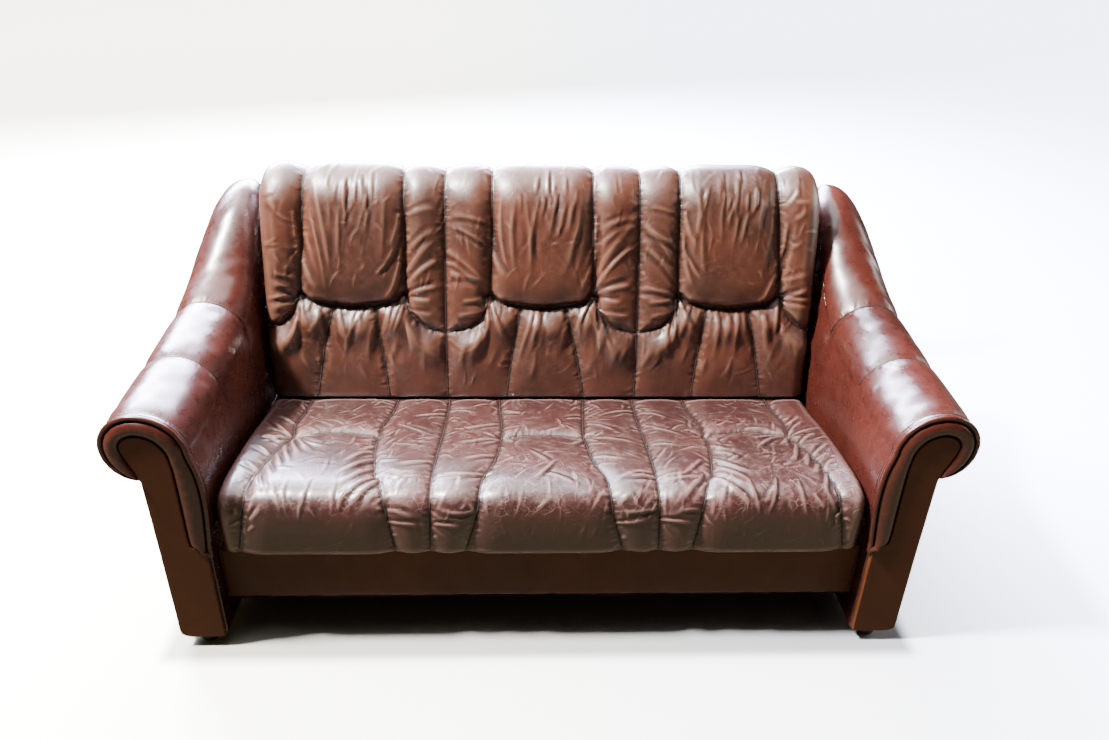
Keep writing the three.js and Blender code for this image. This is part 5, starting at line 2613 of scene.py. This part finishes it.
    def _side_panel(self, finish: bpy.types.Material) -> bpy.types.Object:
        """The flat leather-covered outer side of the arm, lightly padded.

        Args:
            finish: its leather.

        Returns:
            The panel.
        """
        rng = Seed.SIDE_PANEL.chance()
        y = np.linspace(self.board + 0.0006, self.form.rear - 0.009, 150)
        t = np.linspace(0, 1, 90)
        top = self.form.neck + 0.035 * y / 0.85 - 0.001
        z = self.out.leg + (top - self.out.leg)[:, None] * t[None, :]
        yy = np.broadcast_to(y[:, None], z.shape)
        edge = np.minimum.reduce([yy - y[0], y[-1] - yy, z - self.out.leg, top[:, None] - z])
        soft = 0.004 * (1 - np.exp(-edge / 0.012))
        soft = soft + 0.0007 * ripple(yy + 0.3 * z, (0.11, 0.19, 0.3), rng) * smooth(edge, 0, 0.05)
        face = np.stack([self.form.outer - 0.001 + soft, yy, z], axis=-1)
        inside = face.copy()
        inside[..., 0] = self.form.outer - 0.004
        points = np.vstack([face.reshape(-1, 3), inside.reshape(-1, 3)])
        rows, columns = z.shape
        faces = grid_faces(rows, columns).tolist()
        faces += grid_faces(rows, columns, rows * columns, flip=True).tolist()
        faces += self._hem(rows, columns)
        zero = np.zeros(len(points))
        rub = np.concatenate([np.exp(-edge / 0.01).reshape(-1) * 0.5, zero[: rows * columns]])
        made = self._body("side_panel_cover", points, faces, finish, {"rub": rub, "near": zero + 1.0})
        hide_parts(self._name("side_panel"))
        return made

    @staticmethod
    def _hem(rows: int, columns: int) -> list[list[int]]:
        """Faces that join the edges of two equal grids, one after the other in the vertex list.

        Args:
            rows: how many rows each has.
            columns: how many columns each has.

        Returns:
            The faces.
        """
        ring = [(i, 0) for i in range(rows)] + [(rows - 1, j) for j in range(1, columns)]
        ring += [(i, columns - 1) for i in range(rows - 2, -1, -1)]
        ring += [(0, j) for j in range(columns - 2, 0, -1)]
        front = [i * columns + j for i, j in ring]
        rear = [f + rows * columns for f in front]
        size = len(front)
        return [[front[k], rear[k], rear[(k + 1) % size], front[(k + 1) % size]] for k in range(size)]

    def _foot(self, name: str, node: str, finish: bpy.types.Material) -> bpy.types.Object:
        """A round tapered glide foot, worn at its lower edge.

        Args:
            name: its name without the side.
            node: the frame part that it stands for, without the side.
            finish: its plastic.

        Returns:
            The foot.
        """
        low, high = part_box(self._name(node))
        centre = np.array([0.5 * (low.x + high.x), 0.5 * (low.y + high.y)])
        top = self.out.leg - 0.0004
        profile = [
            (0.0, 0.010), (0.0085, 0.010), (0.0085, 0.001), (0.0095, 0.0), (0.018, 0.0), (0.0198, 0.0006)
        ]
        profile += [(0.0208, 0.002), (0.0235, 0.010), (0.0262, 0.018), (0.0275, 0.0235), (0.028, 0.0255)]
        profile += [(0.028, top - 0.0008), (0.0272, top), (0.0, top)]
        turn = np.linspace(0, 2 * np.pi, 48, endpoint=False)
        rows = [
            np.stack([centre[0] + r * np.cos(turn), centre[1] + r * np.sin(turn), np.full(48, z)], axis=1)
            for r, z in ((max(r, 1e-4), z) for r, z in profile)
        ]
        points, faces = close_slab(np.array(rows)[:, ::-1])
        made = make_object(self._name(name), points, faces, finish)
        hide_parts(self._name(node))
        return made

    def dress(
        self, leather: bpy.types.Material, trim: bpy.types.Material, plastic: bpy.types.Material
    ) -> list:
        """Makes the arm's pieces.

        Args:
            leather: the leather of its cover.
            trim: the leather of its boards.
            plastic: what its feet are made of.

        Returns:
            The pieces.
        """
        sheet, rings = self._cover()
        points, faces = close_slab(rings)
        extra = rings.shape[1] - sheet.points.shape[1]

        def widen(values: Array, fill: float = 0.0) -> Array:
            """Numbers for the closed rings, in their own order."""
            return np.pad(values[::-1], ((0, 0), (0, extra)), constant_values=fill)

        z, x = sheet.points[..., 2], sheet.points[..., 0]
        rub = np.clip(0.25 + 0.75 * smooth(z, 0.56, 0.66) * (1 - smooth(x, 0.90, 0.945)), 0, 1)
        marks = {name: widen(values) for name, values in sheet.marks(0.0030, rub).items()}
        marks["seam"] = widen(sheet.seam_mark() * smooth(z, 0.5, 0.6))
        marks["near"] = widen(sheet.field.near + 0.1 * (1 - smooth(z, 0.5, 0.6)), 1.0)
        cover = self._body("arm_upholstery", points, faces, leather, marks)
        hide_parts(self._name("arm_cover"), self._name("arm_padding"))
        thread = self._thread(sheet)
        pieces = [
            cover, thread, self._border(leather), self._welt(leather), self._front_board(trim),
            self._side_panel(trim),
        ]
        for end in ("front", "rear"):
            pieces.append(self._foot(f"{end}_glide", f"{end}_foot", plastic))
        return pieces

    def _thread(self, sheet: Upholstery) -> bpy.types.Object:
        """The thread in the cross seams and beside the welt.

        Args:
            sheet: the cover.

        Returns:
            The piece.
        """
        parts = []
        for route, total in self._routes:
            way = resample(route, max(8, int(lengths(route)[-1] / 0.005)))
            way = np.stack([way[:, 0], way[:, 1] / total], axis=1)
            parts.append(tube_mesh(sheet.at(way, -0.0004), np.array([0.0, 0.0, 1.0]), 0.0014, 0.0011, 5))
        low = self.out.leg + 0.004
        edge_t = np.linspace(
            (self.notch - low) / lengths(self.form.section(self.form.front, low))[-1], 0.99, 150
        )
        way = np.stack([np.full(150, 0.024), edge_t], axis=1)
        parts.append(tube_mesh(sheet.at(way, -0.0003), np.array([0.0, -1.0, 0.0]), 0.0009, 0.0009, 5))
        points, faces = join_meshes(parts)
        made = self._body("arm_seams", points, faces, bpy.data.materials[SEAM_THREAD.name])
        return made


# -------------------------------------------------------------------------------- base and rear


@dataclass
class Boards:
    """The leather-covered front rail and the rear panel.

    Attributes:
        out: where things are.
    """

    out: SettingOut

    def _wrapped(
        self, name: str, node: str, outline: Array, half: float, wave: float, finish: bpy.types.Material
    ) -> bpy.types.Object:
        """Leather wrapped round a straight board that runs across the sofa.

        Args:
            name: the piece's name.
            node: the frame part that it stands for.
            outline: its section in y and z, in the maker's coordinates, closed.
            half: half its length.
            wave: how uneven the leather lies.
            finish: the leather.

        Returns:
            The piece.
        """
        rng = np.random.default_rng(len(name))
        u = np.concatenate(
            [[-half, -half + 0.0015], np.linspace(-half + 0.004, half - 0.004, 300), [half - 0.0015, half]]
        )
        drawn = np.zeros(len(u))
        drawn[[0, -1]], drawn[[1, -2]] = 0.003, 0.001
        middle = outline.mean(axis=0)
        along = np.roll(outline, -1, axis=0) - np.roll(outline, 1, axis=0)
        along /= np.linalg.norm(along, axis=1, keepdims=True)
        outward = np.stack([-along[:, 1], along[:, 0]], axis=1)
        if np.mean(np.einsum("ij,ij->i", outward, outline - middle)) < 0:
            outward = -outward
        run = lengths(outline)
        uu, vv = np.meshgrid(u, run, indexing="ij")
        lift = wave * (
            ripple(uu + 0.4 * vv, (0.07, 0.12, 0.23), rng)
            + 0.5 * ripple(uu, (0.03, 0.045), rng) * ripple(vv, (0.05, 0.08), rng)
        )
        lift = lift - drawn[:, None]
        yz = outline[None] + outward[None] * lift[..., None]
        rows = np.concatenate([uu[..., None], yz], axis=2)
        points, faces = close_slab(rows)
        zero = np.zeros(rows.shape[:2])
        made = make_object(
            name, self.out.row(points), faces, finish,
            {"fold": lift / (3 * wave) * 0.5, "rub": zero + 0.1, "near": zero + 1.0},
        )
        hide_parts(node)
        return made

    def _rounded(self, corners: Sequence[tuple[float, float, float]], spacing: float = 0.006) -> Array:
        """A closed outline with rounded corners.

        Args:
            corners: y, z and radius of each corner.
            spacing: the longest distance between its points.

        Returns:
            Its points.
        """
        p = np.array([(y, z) for y, z, _ in corners])
        points: list[Array] = []
        for k, (_, _, radius) in enumerate(corners):
            a, b, c = p[k - 1], p[k], p[(k + 1) % len(p)]
            u, v = (a - b) / np.linalg.norm(a - b), (c - b) / np.linalg.norm(c - b)
            for t in np.linspace(0, 1, 6):
                points.append(b + u * radius * (1 - t) ** 2 + v * radius * t**2)
        closed = np.vstack(points + [points[0]])
        count = int(lengths(closed)[-1] / spacing)
        return resample(closed, count)[:-1]

    def dress(self, finish: bpy.types.Material) -> list[bpy.types.Object]:
        """Makes the pieces.

        Args:
            finish: the leather.

        Returns:
            The rail's cover and the rear panel.
        """
        low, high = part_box("front_rail_cover")
        front = low.y - self.out.front
        rail = [
            (front, low.z, 0.006), (front, high.z, 0.008), (front + 0.025, high.z, 0.001),
            (front + 0.025, high.z - 0.0028, 0.0003),
        ]
        rail += [(front + 0.0032, high.z - 0.0032, 0.001), (front + 0.0032, low.z + 0.0032, 0.001)]
        rail += [(front + 0.025, low.z + 0.0028, 0.0003), (front + 0.025, low.z, 0.001)]
        rail_cover = self._wrapped(
            "rail_leather", "front_rail_cover", self._rounded(rail), high.x, 0.0005, finish
        )
        low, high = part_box("rear_panel")
        rear = high.y - self.out.front
        panel = [
            (rear - 0.0045, low.z, 0.001), (rear, low.z, 0.002), (rear, high.z - 0.004, 0.012),
            (rear - 0.045, high.z, 0.012),
        ]
        panel += [(rear - 0.048, high.z - 0.024, 0.001), (rear - 0.0045, high.z - 0.0245, 0.001)]
        outline = self._rounded(panel[::-1], 0.009)
        rear_panel = self._wrapped("rear_leather", "rear_panel", outline, high.x, 0.0009, finish)
        return [rail_cover, rear_panel]


# -------------------------------------------------------------------------------- setting


@dataclass(frozen=True)
class Lamp:
    """One soft light.

    Attributes:
        name: its name.
        place: where it is, in the maker's coordinates.
        aim: the point that it faces.
        size: its width and length.
        power: its power in watts.
        tint: its colour.
    """

    name: str
    place: tuple[float, float, float]
    aim: tuple[float, float, float]
    size: tuple[float, float]
    power: float
    tint: tuple[float, float, float]

    def hang(self, out: SettingOut) -> None:
        """Hangs the light.

        Args:
            out: where things are.
        """
        data = bpy.data.lights.new(self.name, "AREA")
        data.shape = "RECTANGLE"
        data.size, data.size_y = self.size
        data.energy = self.power
        data.color = self.tint
        made = bpy.data.objects.new(self.name, data)
        bpy.context.scene.collection.objects.link(made)
        made.location = Vector(out.row(np.array(self.place)))
        made.rotation_euler = (Vector(self.aim) - Vector(self.place)).to_track_quat("-Z", "Y").to_euler()


LAMPS = (
    Lamp("ceiling", (-0.9, 1.3, 3.4), (-0.8, 1.1, 0.0), (3.0, 3.4), 260.0, (1.0, 0.99, 0.98)),
    Lamp("window", (-1.3, 4.1, 3.1), (0.0, 0.3, 0.6), (5.2, 1.9), 6200.0, (0.76, 0.79, 1.0)),
    Lamp("fill", (4.2, 0.9, 1.7), (0.9, 0.0, 0.4), (2.4, 1.6), 110.0, (1.0, 0.96, 0.90)),
    Lamp("sun", (-3.1, -0.25, 5.2), (0.0, 0.3, 0.5), (0.5, 0.5), 2350.0, (1.0, 0.98, 0.94)),
)


@dataclass
class Studio:
    """The pale floor, the soft light and the camera.

    Attributes:
        out: where things are.
        lens: the camera's focal length in millimetres, on a 36 mm sensor.
        eye: the camera's place in the maker's coordinates.
        pitch: how far it looks down, in degrees.
        yaw: how far it looks to the right, in degrees.
        roll: how far it is turned about its own axis, in degrees.
        bounce: how bright the light from the floor is.
        ambient: how bright the light from the rest of the room is.
        sweep: how steeply the floor rises beyond its level part, so that it fills the view.
        level: how far the floor runs level, from the middle of the sofa.
        rim: how far it runs in all.
        spokes: how many points each ring of the floor has.
        under: half the width of the shaded floor under the sofa.
        flag_x: the two ends of the flag.
        flag_y: how far back it stands.
        flag_z: how tall it is.
    """

    out: SettingOut
    lens: float = 28.5
    eye: tuple[float, float, float] = (-0.0568, -1.5587, 1.6425)
    pitch: float = 29.215
    yaw: float = 2.527
    roll: float = 1.369
    bounce: float = 0.62
    ambient: float = 0.035
    sweep: float = 0.09
    level: float = 9.0
    rim: float = 26.0
    spokes: int = 96
    under: float = 0.88
    flag_x: tuple[float, float] = (-1.05, 1.0)
    flag_y: float = 1.25
    flag_z: float = 1.12

    def camera(self) -> bpy.types.Object:
        """Places the camera and makes it the scene's own.

        Returns:
            The camera.
        """
        down, turn, tilt = (math.radians(a) for a in (self.pitch, self.yaw, self.roll))
        ahead = Vector((math.sin(turn) * math.cos(down), math.cos(turn) * math.cos(down), -math.sin(down)))
        right = Vector((math.cos(turn), -math.sin(turn), 0.0))
        above = right.cross(ahead)
        x = math.cos(tilt) * right + math.sin(tilt) * above
        y = -math.sin(tilt) * right + math.cos(tilt) * above
        data = bpy.data.cameras.new("camera")
        data.lens = self.lens
        data.sensor_width = 36.0
        made = bpy.data.objects.new("camera", data)
        bpy.context.scene.collection.objects.link(made)
        place = self.out.row(np.array(self.eye))
        made.matrix_world = Matrix(
            [[x[k], y[k], -ahead[k], place[k]] for k in range(3)] + [[0.0, 0.0, 0.0, 1.0]]
        )
        bpy.context.scene.camera = made
        return made

    def floor(self) -> None:
        """Lays the floor, which fills the view, and the shaded patch of it under the sofa."""
        finish = PaleFloor().make()
        away = np.concatenate(
            [np.linspace(0.0, self.level, 13), np.linspace(self.level + 0.8, self.rim, 22)]
        )
        turn = np.linspace(0.0, 2 * np.pi, self.spokes + 1)[:-1]
        rise = self.sweep * np.maximum(away - self.level, 0.0) ** 2 - 0.0006
        rings = [
            np.stack([r * np.cos(turn), r * np.sin(turn), np.full(self.spokes, z)], axis=1)
            for r, z in zip(np.maximum(away, 1e-3), rise)
        ]
        faces = grid_faces(len(away), self.spokes, wrap=True)
        open_floor = make_object("floor", np.array(rings).reshape(-1, 3), faces, finish)
        open_floor.visible_diffuse = False
        open_floor.visible_glossy = False
        open_floor.visible_shadow = False
        across = np.linspace(-self.under, self.under, 9)
        along = np.linspace(-0.5, 0.5, 9) * self.out.depth
        x, y = np.meshgrid(across, along, indexing="ij")
        points = np.stack([x, y, np.full_like(x, -0.0003)], axis=-1).reshape(-1, 3)
        under = make_object("floor_under", points, grid_faces(9, 9), finish)
        self.flag(finish)

    def flag(self, finish: bpy.types.Material) -> None:
        """Stands a flag behind the sofa, out of sight, that keeps the window's glare off its rear.

        Args:
            finish: what it is made of.
        """
        corners = np.array([(x, self.flag_y, z) for x in self.flag_x for z in (0.0, self.flag_z)])
        made = make_object("flag", self.out.row(corners), [(0, 1, 3, 2)], finish)
        made.visible_camera = False
        made.visible_glossy = False
        made.visible_diffuse = False

    def light(self) -> None:
        """Lights the sofa from above and from behind; its front stays in shade."""
        for lamp in LAMPS:
            lamp.hang(self.out)
        world = bpy.data.worlds.new("room")
        world.use_nodes = True
        tree = world.node_tree
        shade = tree.nodes["Background"]
        shade.inputs["Color"].default_value = (1.0, 0.80, 0.52, 1.0)
        apart = tree.nodes.new("ShaderNodeSeparateXYZ")
        tree.links.new(tree.nodes.new("ShaderNodeTexCoord").outputs["Generated"], apart.inputs[0])
        bounce = tree.nodes.new("ShaderNodeMapRange")
        tree.links.new(apart.outputs["Z"], bounce.inputs["Value"])
        for name, value in (
            ("From Min", -0.25), ("From Max", 0.0), ("To Min", self.bounce), ("To Max", self.ambient)
        ):
            bounce.inputs[name].default_value = value
        tree.links.new(bounce.outputs["Result"], shade.inputs["Strength"])
        bpy.context.scene.world = world


# -------------------------------------------------------------------------------- making


def paint_frame(nodes: dict[str, bpy.types.Object], record: dict) -> None:
    """Gives every frame part that stays its own finish.

    Args:
        nodes: the frame's parts.
        record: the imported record, which names each part's slot.
    """
    finishes = {f.name: f for f in (BEECH, PLYWOOD, WEBBING, CAMBRIC, FOOT_PLASTIC, STEEL, FOAM)}
    made = {name: finish.make() for name, finish in finishes.items()}
    for leather in (ARM_LEATHER, SEAT_LEATHER, BACK_LEATHER, TRIM_LEATHER):
        made[leather.name] = bpy.data.materials[leather.name]
    for entry in record["subparts"]:
        part = nodes[entry["node"]]
        part.data.materials.clear()
        part.data.materials.append(made[entry["material_slot"]])


def main() -> None:
    """Builds the sofa and its setting."""
    logging.basicConfig(level=logging.INFO, format="%(name)s: %(message)s")
    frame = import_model()
    out = SettingOut.from_frame()
    studio = Studio(out)
    studio.camera()
    studio.floor()
    studio.light()
    SEAM_THREAD.make()
    leathers = {f.name: f.make() for f in (ARM_LEATHER, SEAT_LEATHER, BACK_LEATHER, TRIM_LEATHER)}
    paint_frame(frame["nodes"], frame["record"])
    pieces = BackCushion(out).dress(leathers["back_leather"])
    pieces += SeatCushion(out).dress(leathers["seat_leather"])
    pieces += Boards(out).dress(leathers["trim_leather"])
    for side in Side:
        plastic = bpy.data.materials["foot_plastic"]
        pieces += Arm(out, side).dress(leathers["arm_leather"], leathers["trim_leather"], plastic)
    for piece in pieces:
        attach(piece, ROOT)
        log.info("%s: %d faces", piece.name, len(piece.data.polygons))


if __name__ == "__main__":
    main()
